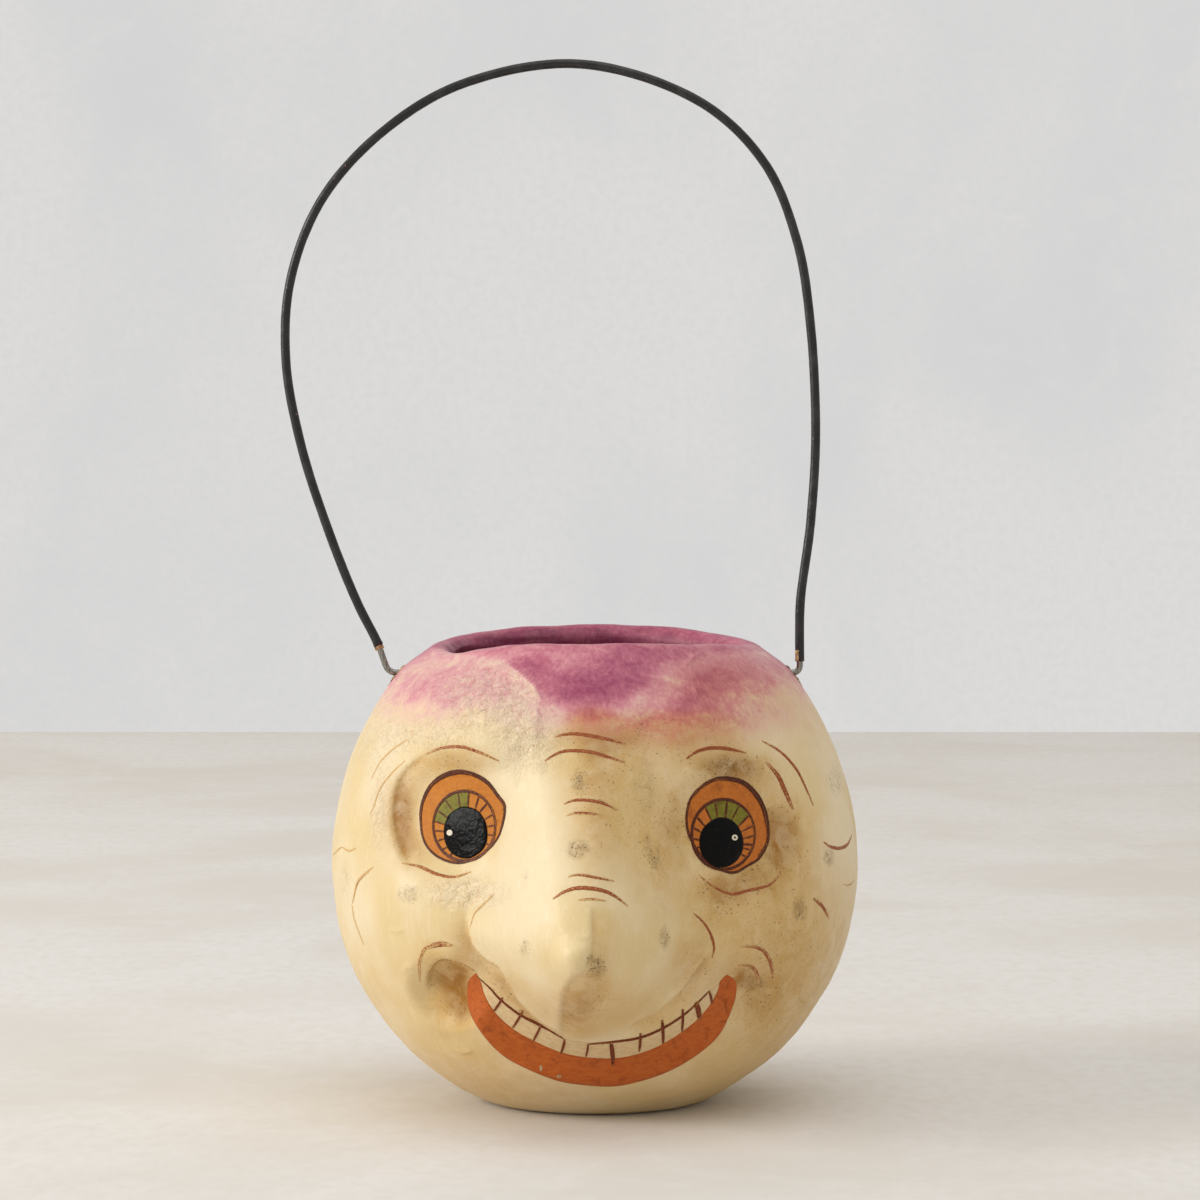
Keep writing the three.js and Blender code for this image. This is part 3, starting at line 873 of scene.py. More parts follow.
    def pressed(self, profile: Array, columns: int) -> tuple[Array, Array]:
        """Turned body of a profile, with the face pressed into it and the rim lowered at the sides.

        Args:
            profile: Points (radius, height) as (rows, 2).
            columns: Points round the body, closer together in front.

        Returns:
            The points as (rows, columns, 3), and the cosine of each column's azimuth from the front.
        """
        even = np.arange(columns) * (2 * math.pi / columns)
        azimuth = even - self.face_crowding * np.sin(even)
        radius, height = profile[:, :1], profile[:, 1:]
        across = radius * np.sin(azimuth)
        proud = self.relief(across, height) * smoothstep(np.cos(azimuth), *self.side_fade)
        top = self.rim_top
        dip = self.lip_saddle * np.sin(azimuth) ** 2 * smoothstep(height, top - self.saddle_depth, top)
        grid = np.stack([across, -radius * np.cos(azimuth) - proud, height - dip], -1)
        return grid, np.cos(azimuth)


@dataclass(frozen=True)
class Wrinkle:
    """Small raised crease of the paper, in pixels of the photograph's frame."""

    start: Pixel
    end: Pixel
    bow: float
    proud: float
    half_width: float = 1.5

    def weight(self, pixels: Array) -> Array:
        """Height of the crease at given pixels, from 0 to its own."""
        start, end = np.asarray(self.start), np.asarray(self.end)
        run = end - start
        length = float(np.linalg.norm(run))
        ahead = run / length
        aside = np.array([-ahead[1], ahead[0]])
        rel = pixels - start
        along = rel @ ahead / length
        off = rel @ aside - self.bow * 4 * along * (1 - along)
        ends = np.clip(4 * along * (1 - along), 0.0, 1.0) ** 0.5
        return self.proud * np.exp(-(off / self.half_width) ** 2) * ends


@dataclass(frozen=True)
class Fold:
    """Crisp edge of a form, in pixels of the photograph's frame, hollow on the right of its path, with
    painted shade laid in the hollow.
    """

    path: Stops
    reach: float
    glaze_and_shade: float
    proud: float
    softness: float = 3.0
    far: float = 14.0
    rise: Pair = (-1.0, 1.5)
    ends: Pair = (0.0, 0.16)
    stations: int = 48

    def place(self, pixels: Array) -> tuple[Array, Array]:
        """Place of pixels beside the edge.

        Args:
            pixels: The pixels, as (..., 2).

        Returns:
            How far each is from the edge, positive on the hollow side, and how far the edge is felt there.
        """
        line = even_curve(self.path, self.stations)
        ahead = np.gradient(line, axis=0)
        ahead /= np.linalg.norm(ahead, axis=1, keepdims=True)
        rel = pixels[..., None, :] - line
        away = np.hypot(rel[..., 0], rel[..., 1])
        nearest = np.argmin(away, axis=-1)
        rel = np.take_along_axis(rel, nearest[..., None, None], axis=-2)[..., 0, :]
        along = ahead[nearest]
        aside = along[..., 0] * rel[..., 1] - along[..., 1] * rel[..., 0]
        last = self.stations - 1
        felt = smoothstep(np.minimum(nearest, last - nearest) / last, *self.ends)
        return np.sign(aside) * away.min(axis=-1), felt

    def weights(self, pixels: Array) -> tuple[Array, Array]:
        """Ochre painted shade, and height, that the edge adds at given pixels."""
        off, felt = self.place(pixels)
        glaze_and_shade = self.glaze_and_shade * smoothstep(off, *self.rise) * (1.0 - smoothstep(off, 0.0, self.reach))
        step = off / self.softness
        height = -self.proud * step / (1.0 + step * step) * np.exp(-((off / self.far) ** 2))
        return glaze_and_shade * felt, height * felt


@dataclass(frozen=True)
class FaceMap:
    """Where the paint and the crumpling lie on the face, in pixels of the photograph's frame."""

    brow_edge: Stops = (
        (488, 640), (508, 664), (521, 675), (534, 686), (539, 696), (537, 708), (534, 725), (536, 745),
        (541, 790), (548, 840), (556, 900),
    )
    brow_start: Pair = (640, 668)
    brow_fade: Pair = (800, 900)
    brow_width: Pair = (-1.0, 2.0)
    wash_fade: Pair = (690, 774)
    wash_wander: float = 16.0
    wash_brow_lift: float = 10.0
    folds: tuple[Fold, ...] = (
        Fold((
            (466, 908), (469, 930), (474, 946), (484, 957), (498, 967), (508, 983), (518, 999), (527, 1010),
            (540, 1021), (556, 1031), (570, 1040),
        ), 40, 0.6, 1.7),
        Fold((
            (428, 990), (430, 972), (438, 961.5), (449, 959.5), (461, 964.5), (476, 974),
        ), 40, 0.4, 1.1, 2.5),
        Fold((
            (562, 1044), (562, 1010), (565, 990), (574, 977), (585, 968), (590, 952), (592, 930),
            (590, 900),
        ), 44, 0.4, 0.8, 4),
        Fold((
            (414, 872), (400, 852), (393, 820), (395, 790), (406, 768), (430, 750),
        ), 34, 0.6, 1.0, 5),
        Fold((
            (625, 1027), (655, 1012), (676, 995), (690, 978), (701, 962), (712, 946),
        ), 22, 0.5, 1.0, 4),
    )
    purple: tuple[Blot, ...] = blots(
        (600, 668, 130, 50, 0.5), (572, 690, 62, 26, 0.65), (622, 684, 42, 26, 0.45),
        (650, 656, 70, 26, 0.4), (712, 680, 90, 46, 0.34), (775, 674, 90, 44, 0.22),
        (530, 668, 34, 22, 0.5), (640, 712, 120, 50, 0.36), (690, 712, 60, 40, 0.22),
        (590, 712, 40, 26, 0.25), (692, 690, 38, 28, 0.22),
    )
    knobs: tuple[Blot, ...] = blots(
        (572, 958, 15, 15, 0.7), (583, 950, 8, 8, 0.3),
    )
    paler: tuple[Blot, ...] = blots(
        (672, 680, 26, 26, 0.55), (646, 702, 24, 20, 0.5), (695, 662, 24, 16, 0.3),
        (740, 702, 26, 18, 0.3), (535, 712, 30, 20, 0.4),
    )
    pink: tuple[Blot, ...] = blots(
        (480, 665, 110, 50, 0.42), (440, 690, 80, 60, 0.22), (570, 700, 110, 50, 0.3),
        (392, 696, 80, 66, 0.3), (640, 726, 140, 60, 0.42), (740, 722, 120, 56, 0.36),
        (455, 704, 90, 44, 0.22), (520, 730, 40, 40, 0.2),
    )
    # Ochre antiquing in the sockets and hollows, with painted shade in them, over the right side and low
    # down.
    glaze_and_shade: tuple[Blot, ...] = blots(
        (448, 815, 68, 66, 0.45), (403, 812, 19, 50, 0.75), (455, 762, 52, 24, 0.65),
        (410, 850, 30, 30, 0.5), (740, 820, 78, 80, 0.75), (790, 850, 46, 70, 0.55),
        (725, 762, 62, 34, 0.6), (675, 820, 24, 60, 0.3), (735, 885, 60, 30, 0.5),
        (450, 978, 30, 40, 0.6), (430, 955, 22, 22, 0.4), (755, 1000, 44, 46, 0.35),
        (585, 1005, 80, 40, 0.5), (595, 790, 50, 110, 0.55), (655, 850, 50, 90, 0.4),
        (790, 950, 110, 130, 0.66), (770, 1060, 160, 110, 0.38), (640, 1110, 260, 50, 0.2),
        (690, 900, 120, 200, 0.16), (470, 1080, 150, 60, 0.45), (505, 985, 30, 18, 0.4),
        (690, 965, 30, 50, 0.45), (360, 1020, 80, 90, 0.25), (710, 905, 44, 34, 0.45),
        (610, 745, 90, 60, 0.35), (660, 800, 60, 120, 0.3), (742, 978, 22, 18, 0.6),
        (730, 768, 58, 18, 0.4), (776, 842, 20, 44, 0.45), (456, 1010, 44, 34, 0.35),
        (598, 985, 22, 34, 0.35), (660, 738, 110, 32, 0.55), (600, 735, 46, 30, 0.45),
        (720, 690, 110, 60, 0.45), (800, 720, 60, 70, 0.25), (464, 1000, 20, 38, 0.85),
        (452, 1002, 34, 46, 0.5), (450, 978, 28, 20, 0.4), (580, 1010, 26, 40, 0.4),
        (392, 812, 22, 50, 0.35), (585, 722, 36, 24, 0.35), (700, 728, 76, 26, 0.4),
        (600, 810, 34, 90, 0.3), (786, 832, 30, 48, 0.45), (735, 886, 60, 24, 0.4),
        (745, 770, 60, 22, 0.25),
    )
    speckle: tuple[Blot, ...] = blots(
        (580, 782, 13, 17, 1.0), (578, 849, 17, 16, 1.0), (655, 859, 8, 22, 0.7),
        (409, 894, 18, 14, 0.75), (800, 910, 10, 22, 0.8), (829, 857, 8, 14, 0.8),
        (597, 967, 15, 20, 0.8), (665, 938, 9, 18, 0.8), (647, 845, 8, 18, 0.6), (525, 948, 8, 16, 0.6),
        (525, 878, 7, 14, 0.45), (640, 725, 60, 26, 0.4), (755, 865, 40, 26, 0.45),
        (835, 780, 14, 26, 0.45), (433, 978, 16, 24, 0.5), (755, 984, 16, 12, 0.75),
        (592, 962, 8, 12, 0.7), (728, 768, 30, 12, 0.5), (645, 790, 20, 44, 0.4), (560, 738, 26, 20, 0.4),
        (735, 765, 40, 18, 0.4), (345, 880, 10, 34, 0.35), (540, 765, 12, 12, 0.5),
        (718, 905, 14, 20, 0.45),
    )
    crinkle: tuple[Blot, ...] = blots(
        (490, 700, 74, 54, 1.0), (530, 745, 44, 44, 0.8), (380, 812, 18, 62, 0.6),
        (465, 893, 62, 24, 0.9), (380, 740, 40, 60, 0.5), (430, 735, 60, 26, 0.7),
    )
    still: tuple[Blot, ...] = blots(
        (464, 818, 54, 58, 1.0), (728, 826, 54, 60, 1.0), (605, 1025, 165, 90, 0.8),
    )
    wrinkles: tuple[Wrinkle, ...] = (
        Wrinkle((388, 929), (404, 928), 3, 0.35), Wrinkle((402, 972), (414, 967), -2, 0.3),
        Wrinkle((412, 1002), (440, 1004), 3, 0.3), Wrinkle((455, 1049), (472, 1050), 3, 0.3),
        Wrinkle((798, 995), (812, 1001), 4, 0.35), Wrinkle((690, 652), (698, 660), 1, 0.3),
        Wrinkle((684, 668), (704, 652), -2, 0.4), Wrinkle((693, 688), (699, 695), 0, 0.5),
        Wrinkle((742, 690), (760, 722), 3, 0.25), Wrinkle((768, 672), (790, 700), 2, 0.25),
        Wrinkle((534, 690), (548, 702), 2, 0.25), Wrinkle((500, 672), (520, 680), -2, 0.3),
        Wrinkle((655, 845), (668, 880), 3, 0.4), Wrinkle((650, 890), (690, 925), 4, 0.3),
        Wrinkle((405, 700), (424, 690), -2, 0.25), Wrinkle((560, 930), (590, 938), 3, 0.3),
    )

    def brow(self, pixels: Array) -> Array:
        """How far pixels lie on the brow, left of its edge, from 0 to 1."""
        across, down = pixels[..., 0], pixels[..., 1]
        edge = np.asarray(self.brow_edge)
        off = across - np.interp(down, edge[:, 1], edge[:, 0])
        felt = smoothstep(down, *self.brow_start) * (1.0 - smoothstep(down, *self.brow_fade))
        return felt * (1.0 - smoothstep(off, *self.brow_width))

    def wash_end(self, pixels: Array, uneven: Array, brow: Array) -> Array:
        """How far the purple wash reaches pixels before it fades out down the face, from 0 to 1."""
        down = pixels[..., 1] + self.wash_wander * uneven - self.wash_brow_lift * (1 - brow)
        return 1.0 - smoothstep(down, *self.wash_fade)


@dataclass(frozen=True)
class Lumps:
    """One layer of unevenness: its height, its size in millimetres, its seed and its stretch."""

    height: float
    size: float
    seed: float
    stretch: Triple = (1, 1, 1)

    def at(self, points: Array) -> Array:
        """Height of the layer at each place."""
        return self.height * mottle(points, self.size, self.seed, self.stretch)


@dataclass(frozen=True)
class TurnipSurface:
    """Roughened and painted surface of the turnip, shared by its shell and its rim.

    The face map's pixels belong to the view. Pairs are the places between which something fades.
    """

    form: TurnipForm
    view: Viewpoint
    face: FaceMap
    front_fade: Pair = (0.0, 0.25)
    broad_lumps: Lumps = Lumps(0.5, 26, 3.1)
    small_lumps: Lumps = Lumps(0.28, 11, 7.7)
    fine_lumps: Lumps = Lumps(0.1, 4.6, 1.3)
    stillness: float = 0.85
    ridges: Lumps = Lumps(2.2, 5.2, 9.4, (1, 1, 0.8))
    ridge_height: float = 0.34
    grain: Lumps = Lumps(0.2, 2.4, 5.5)
    wrinkle_height: float = 1.7
    lip_creases: Lumps = Lumps(2.4, 7.5, 2.2, (0.28, 1, 1))
    lip_crease_height: float = 0.5
    lip_folds: Lumps = Lumps(0.5, 13, 4.4, (0.7, 0.5, 1))
    lip_radius: float = 50.0
    lip_row: float = 0.9
    holes_x: Pair = (42, 52)
    holes_y: Pair = (16, 28)
    holes_z: Pair = (110, 121)
    holes_hollow: float = -0.3
    foot_fade: Pair = (0.3, 6.0)
    sag: float = 2.6
    sag_azimuth: float = -62.0
    sag_spread: float = 21.0
    sag_heights: Pair = (128, 146)
    broad_clouds: Lumps = Lumps(0.5, 17, 6.2)
    small_clouds: Lumps = Lumps(0.3, 6, 8.8)
    crown_heights: Pair = (116, 147)
    crown_wander: float = 9.0
    crown_behind: float = 0.86
    crown_before: float = 0.22
    rim_heights: Pair = (138, 146)
    rim_purple: float = 0.68
    brow_paler: float = 0.8
    pink_strength: float = 0.8
    neck_heights: Pair = (120, 130)
    neck_fade: Pair = (-3.0, 0.5)
    deep_neck_fade: Pair = (-4.5, -1.2)
    glaze_behind: float = 0.18
    glaze_clouds: float = 0.15
    stains_behind: Lumps = Lumps(1.0, 15, 2.7)
    stains_fade: Pair = (0.3, 0.6)
    stains_strength: float = 0.5
    least_crinkle: float = 0.15
    splash_heights: Pair = (118, 138)
    splash: float = 0.92

    def front(self, cosine: Array) -> Array:
        """How far each column belongs to the face, from 0 to 1."""
        return smoothstep(cosine, *self.front_fade)

    def by_holes(self, grid: Array) -> Array:
        """How near places are to the bail's holes, where the paper lies low and lets the bail pass."""
        near = smoothstep(np.abs(grid[..., 0]), *self.holes_x)
        near *= 1.0 - smoothstep(np.abs(grid[..., 1]), *self.holes_y)
        return near * smoothstep(grid[..., 2], *self.holes_z)

    def lip_folding(self, azimuth: Array) -> Array:
        """Height of the creases and folds that run round the lip."""
        rows = np.broadcast_to(np.arange(len(azimuth))[:, None] * self.lip_row, azimuth.shape)
        unrolled = np.stack([azimuth * self.lip_radius, rows, np.zeros_like(azimuth)], -1)
        creases = 1.0 - np.abs(self.lip_creases.at(unrolled))
        return self.lip_crease_height * creases + self.lip_folds.at(unrolled)

    def crumpled(self, grid: Array, cosine: Array,
                 folds: Union[float, Array] = 0.0) -> Array:
        """Grid with the lumps, crinkles and folds of laid paper.

        Args:
            grid: Points as (rows, columns, 3).
            cosine: Cosine of each column's azimuth.
            folds: For each row, how much it is folded, as the lip is.

        Returns:
            The moved points.
        """
        pixels = self.view.pixels(grid)
        front = self.front(cosine)
        crinkle = front * blotted(self.face.crinkle, pixels)
        loose = 1.0 - self.stillness * (front * blotted(self.face.still, pixels))
        off = self.broad_lumps.at(grid) + self.small_lumps.at(grid) * loose
        off += self.fine_lumps.at(grid) * loose
        ridges = 1.0 - np.abs(self.ridges.at(grid))
        off += self.ridge_height * crinkle * ridges + crinkle * self.grain.at(grid)
        for wrinkle in self.face.wrinkles:
            off += self.wrinkle_height * front * wrinkle.weight(pixels)
        for fold in self.face.folds:
            off += front * fold.weights(pixels)[1]
        off += front * blotted(self.face.knobs, pixels)
        azimuth = np.arctan2(grid[..., 0], -grid[..., 1])
        if np.any(folds):
            off += folds[:, None] * self.lip_folding(azimuth)
        off += (np.minimum(off, self.holes_hollow) - off) * self.by_holes(grid)
        off *= smoothstep(grid[..., 2], *self.foot_fade)
        moved = grid + grid_normals(grid, True) * off[..., None]
        aside = (np.degrees(azimuth) - self.sag_azimuth) / self.sag_spread
        moved[..., 2] -= self.sag * np.exp(-aside ** 2) * smoothstep(grid[..., 2], *self.sag_heights)
        return moved

    def neck_shade(self, grid: Array, fade: Pair) -> Array:
        """How far places lie inside the mouth, under the lip, where the paint darkens as painted shade.

        Args:
            grid: Points as (rows, columns, 3).
            fade: Distances from the middle of the lip between which that area ends.

        Returns:
            The share of each place, from 0 to 1.
        """
        lip = self.form.mouth_radius + self.form.lip_roll
        radius = np.hypot(grid[..., 0], grid[..., 1])
        high = smoothstep(grid[..., 2], *self.neck_heights)
        return high * (1.0 - smoothstep(radius, lip + fade[0], lip + fade[1]))

    def purple(self, grid: Array, front: Array, uneven: Array) -> Array:
        """Strength of the purple wash at each point, from 0 to 1.

        Args:
            grid: Points as (rows, columns, 3).
            front: How far each column belongs to the face.
            uneven: Clouds that its edge follows.

        Returns:
            The strength.
        """
        pixels = self.view.pixels(grid)
        crown = smoothstep(grid[..., 2] + self.crown_wander * uneven, *self.crown_heights)
        brow = self.face.brow(pixels)
        deep = blotted(self.face.purple, pixels) * (1.0 - self.brow_paler * brow)
        deep = deep * (1.0 - blotted(self.face.paler, pixels))
        faint = self.pink_strength * blotted(self.face.pink, pixels)
        before = np.clip(np.maximum(deep, faint) + self.crown_before * crown * (1 - brow), 0, 1)
        before = before * self.face.wash_end(pixels, uneven, brow)
        rim = self.rim_purple * smoothstep(grid[..., 2], *self.rim_heights)
        purple = self.crown_behind * crown * (1 - front) + np.maximum(before, rim) * front
        # Deep purple inside the lip, darker to the left as painted shade.
        neck_shade = self.neck_shade(grid, self.neck_fade) * (0.95 - 0.3 * smoothstep(grid[..., 0], 5, 30))
        return np.clip(np.maximum(purple, neck_shade), 0, 1)

    def paint(self, grid: Array, cosine: Array, inside: Array) -> dict[str, Array]:
        """Numbers that the turnip's paint reads, for each point.

        Args:
            grid: Points as (rows, columns, 3).
            cosine: Cosine of each column's azimuth.
            inside: For each row, how far it is unpainted paper, from 0 to 1.

        Returns:
            The numbers under their names.
        """
        pixels = self.view.pixels(grid)
        front = self.front(cosine)
        x, z = grid[..., 0], grid[..., 2]
        uneven = self.broad_clouds.at(grid) + self.small_clouds.at(grid)
        # In front, the blotted antiquing and the folds' painted shade; behind, an even tone with clouds.
        glaze_and_shade = blotted(self.face.glaze_and_shade, pixels)
        for fold in self.face.folds:
            glaze_and_shade = 1.0 - (1.0 - glaze_and_shade) * (1.0 - fold.weights(pixels)[0])
        glaze_and_shade = front * glaze_and_shade + (1 - front) * (self.glaze_behind + self.glaze_clouds * uneven)
        stains = self.stains_strength * smoothstep(self.stains_behind.at(grid), *self.stains_fade)
        bare = np.broadcast_to(inside[:, None], z.shape)
        return {
            "purple": self.purple(grid, front, uneven),
            "glaze_and_shade": np.clip(glaze_and_shade, 0, 1),
            "speckle": front * blotted(self.face.speckle, pixels) + (1 - front) * stains,
            # Painted shade inside the mouth, darker to the left.
            "neck_shade": self.neck_shade(grid, self.deep_neck_fade) * (0.4 - 0.3 * smoothstep(x, 5, 40)),
            "crinkle": np.clip(front * blotted(self.face.crinkle, pixels) + self.least_crinkle, 0, 1),
            "inside": bare * (1.0 - self.splash * smoothstep(z, *self.splash_heights)),
        }


@dataclass
class TurnipShell:
    """Moulded shell of the turnip, both halves joined and painted, with the holes for the bail."""

    surface: TurnipSurface
    columns: int = 608
    step: float = 0.8
    inside_step: float = 2.2
    centre_radius: float = 4.0
    flat_rows: int = 8
    foot_rounding: float = 2.2
    fillet_rows: int = 5
    band_depth: float = 1.3
    band_start: float = 2.6
    band_width: float = 5.0
    roll_rows: int = 9
    neck_drop: float = 0.6
    floor_inset: float = 3.0
    drill_length: float = 200.0
    drill_sides: int = 20

    def outside(self) -> Array:
        """Profile of the foot and the outer side, up to the rolled lip, as (radius, height)."""
        form = self.surface.form
        foot, lip = form.foot_angle, form.lip_angle
        foot_radius = form.outline(foot)[0]
        rounding = self.foot_rounding
        radii = np.linspace(self.centre_radius, foot_radius - 2 * rounding, self.flat_rows)
        flat = np.column_stack([radii, np.zeros(self.flat_rows)])
        first = foot + 1.4 * rounding / form.belly_radius
        start, end = flat[-1], form.outline(first)
        corner = np.array([foot_radius - 0.2 * rounding, 0.0])
        t = np.linspace(0, 1, self.fillet_rows + 2)[1:-1, None]
        fillet = start * (1 - t) ** 2 + 2 * corner * t * (1 - t) + end * t * t
        count = int(form.belly_radius * (lip - first) * 1.06 / self.step)
        angles = np.linspace(first, lip, count)
        below = (lip - angles) * form.belly_radius
        sunk = self.band_depth * (1.0 - smoothstep(below, self.band_start, self.band_width))
        return np.vstack([flat, fillet, form.outline(angles, sunk)])

    def inside(self) -> Array:
        """Profile of the lip and the inner side, down to the floor's middle, as (radius, height)."""
        form = self.surface.form
        turn = np.linspace(form.lip_normal, 1.5 * math.pi, self.roll_rows + 1)[1:, None]
        roll = form.lip_centre + (form.lip_roll - self.band_depth) * np.hstack([np.cos(turn), np.sin(turn)])
        inner = form.outline(np.linspace(form.lip_angle, form.foot_angle, OUTLINE_SAMPLES), form.wall)
        top = inner[np.argmax(inner[:, 1] < roll[-1, 1] - self.neck_drop)]
        keep = inner[inner[:, 1] < top[1]]
        wall = spaced(keep, int(distances(keep)[-1] / self.inside_step))
        radii = np.linspace(wall[-1, 0] - self.floor_inset, self.centre_radius, self.flat_rows)
        floor = np.column_stack([radii, np.full(self.flat_rows, wall[-1, 1])])
        return np.vstack([roll, wall, floor])

    def build(self, material: Material) -> bpy.types.Object:
        """Builds the shell and cuts the bail's holes through it."""
        outside, inside = self.outside(), self.inside()
        grid, cosine = self.surface.form.pressed(np.vstack([outside, inside]), self.columns)
        grid = self.surface.crumpled(grid, cosine)
        bare = np.concatenate([np.zeros(len(outside)), np.ones(len(inside))])
        values = self.surface.paint(grid, cosine, bare)
        mesh = Mesh()
        mesh.add_ring(grid, (0, 0, grid[0, 0, 2]), (0, 0, grid[-1, 0, 2]), **values)
        shell = mesh.make("turnip_shell", material)
        self.drill(shell)
        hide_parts("face_shell", "back_shell")
        return shell

    def drill(self, shell: bpy.types.Object) -> None:
        """Cuts the two holes that the bail turns in."""
        form = self.surface.form
        bpy.ops.mesh.primitive_cylinder_add(
            vertices=self.drill_sides, radius=form.hole_radius * MM, depth=self.drill_length * MM,
            location=(0, 0, form.pivot_height * MM), rotation=(0, math.pi / 2, 0),
        )
        drill = bpy.context.object
        cut = shell.modifiers.new("holes", "BOOLEAN")
        cut.object = drill
        cut.operation = "DIFFERENCE"
        cut.solver = "EXACT"
        bpy.context.view_layer.objects.active = shell
        bpy.ops.object.modifier_apply(modifier=cut.name)
        bpy.data.objects.remove(drill, do_unlink=True)


@dataclass
class FoldedRim:
    """Paper band folded over the lip, feathered out on the shell and tucked in at the mouth."""

    surface: TurnipSurface
    columns: int = 608
    thickness: float = 1.1
    feather: float = 0.22
    edge: float = 0.03
    sunk: float = 0.13
    skirt: float = 8.4
    skirt_rows: int = 15
    tuck: float = math.radians(238)
    roll_rows: int = 25
    skirt_folds: float = 0.25
    least_folds: float = 0.3

    def build(self, material: Material) -> bpy.types.Object:
        """Builds the band."""
        form = self.surface.form
        lip = form.lip_angle
        angles = np.linspace(lip - self.skirt / form.belly_radius, lip, self.skirt_rows)
        below = (lip - angles) * form.belly_radius / self.skirt
        proud = self.edge * smoothstep(below, 0.1, 0.4) - self.sunk * smoothstep(below, 0.45, 1.0)
        thick = self.thickness + (self.feather - self.thickness) * smoothstep(below, 0.1, 1.0)
        turn = np.linspace(form.lip_normal, self.tuck, self.roll_rows + 1)[1:, None]
        around = np.hstack([np.cos(turn), np.sin(turn)])
        outer = np.vstack([form.outline(angles, -proud), form.lip_centre + form.lip_roll * around])
        inner = np.vstack([
            form.outline(angles, thick - proud),
            form.lip_centre + (form.lip_roll - self.thickness) * around,
        ])
        grid, cosine = form.pressed(np.vstack([outer, inner[::-1]]), self.columns)
        rolled = np.linspace(self.least_folds, 1.0, self.roll_rows)
        folds = np.concatenate([self.skirt_folds * (1 - below) ** 2, rolled])
        moved = self.surface.crumpled(grid, cosine, np.concatenate([folds, folds[::-1]]))
        rows = len(outer)
        moved[rows:] = grid[rows:] + (moved[:rows] - grid[:rows])[::-1]
        values = self.surface.paint(moved, cosine, np.zeros(2 * rows))
        mesh = Mesh()
        mesh.add_ring(moved, loop=True, edges=(rows - 1, 2 * rows - 1), **values)
        band = mesh.make("folded_rim", material, Body.BUCKET, Slot.PURPLE)
        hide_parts("rim_band")
        return band


@dataclass
class SeamStrip:
    """Paper strip glued over the joint of the two halves, inside."""

    form: TurnipForm
    seam_y: float = 12.0
    width: float = 18.0
    lift: float = 0.3
    thickness: float = 1.0
    below_holes: float = 7.0
    wall_rows: int = 90
    floor_rows: int = 24
    columns: int = 9
    ragged: float = 0.5
    seed: int = 5
    samples: int = 2001

    def side(self, depth: float) -> Array:
        """One side of the strip, from below one hole, under the floor and up to the other.

        Args:
            depth: Millimetres below the turnip's outer side.

        Returns:
            Its points, as (rows, columns, 3).
        """
        angles = np.linspace(self.form.lip_angle, self.form.foot_angle, self.samples)
        run = self.form.outline(angles, depth)
        run = run[run[:, 1] < self.form.pivot_height - self.below_holes]
        run = run[np.linspace(0, len(run) - 1, self.wall_rows).astype(int)]
        half, bottom = run[-1]
        edge = math.sqrt(max(half ** 2 - self.seam_y ** 2, 0.0))
        stations = [(-radius, radius, height) for radius, height in run]
        stations += [(x, None, bottom) for x in np.linspace(-half, half, self.floor_rows + 2)[1:-1]]
        stations += [(radius, radius, height) for radius, height in run[::-1]]
        rng = random.Random(self.seed)
        across = np.linspace(-0.5, 0.5, self.columns)
        rows = []
        for x, radius, height in stations:
            first, second = (rng.uniform(-self.ragged, self.ragged) for _ in range(2))
            y = self.seam_y + across * (self.width + (first + second) * 0.8) + first * 0.5
            if radius is None:
                level = np.full(self.columns, x / half * edge)
            else:
                level = np.sqrt(radius ** 2 - y ** 2) * (1 if x > 0 else -1)
            rows.append(np.column_stack([level, y, np.full(self.columns, height)]))
        return np.array(rows)

    def build(self, material: Material) -> bpy.types.Object:
        """Builds the strip."""
        outer = self.form.wall + self.lift
        mesh = Mesh()
        mesh.add_film(self.side(outer + self.thickness), self.side(outer))
        strip = mesh.make("seam_strip", material, Body.BUCKET, Slot.KRAFT)
        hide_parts("seam_tape")
        return strip


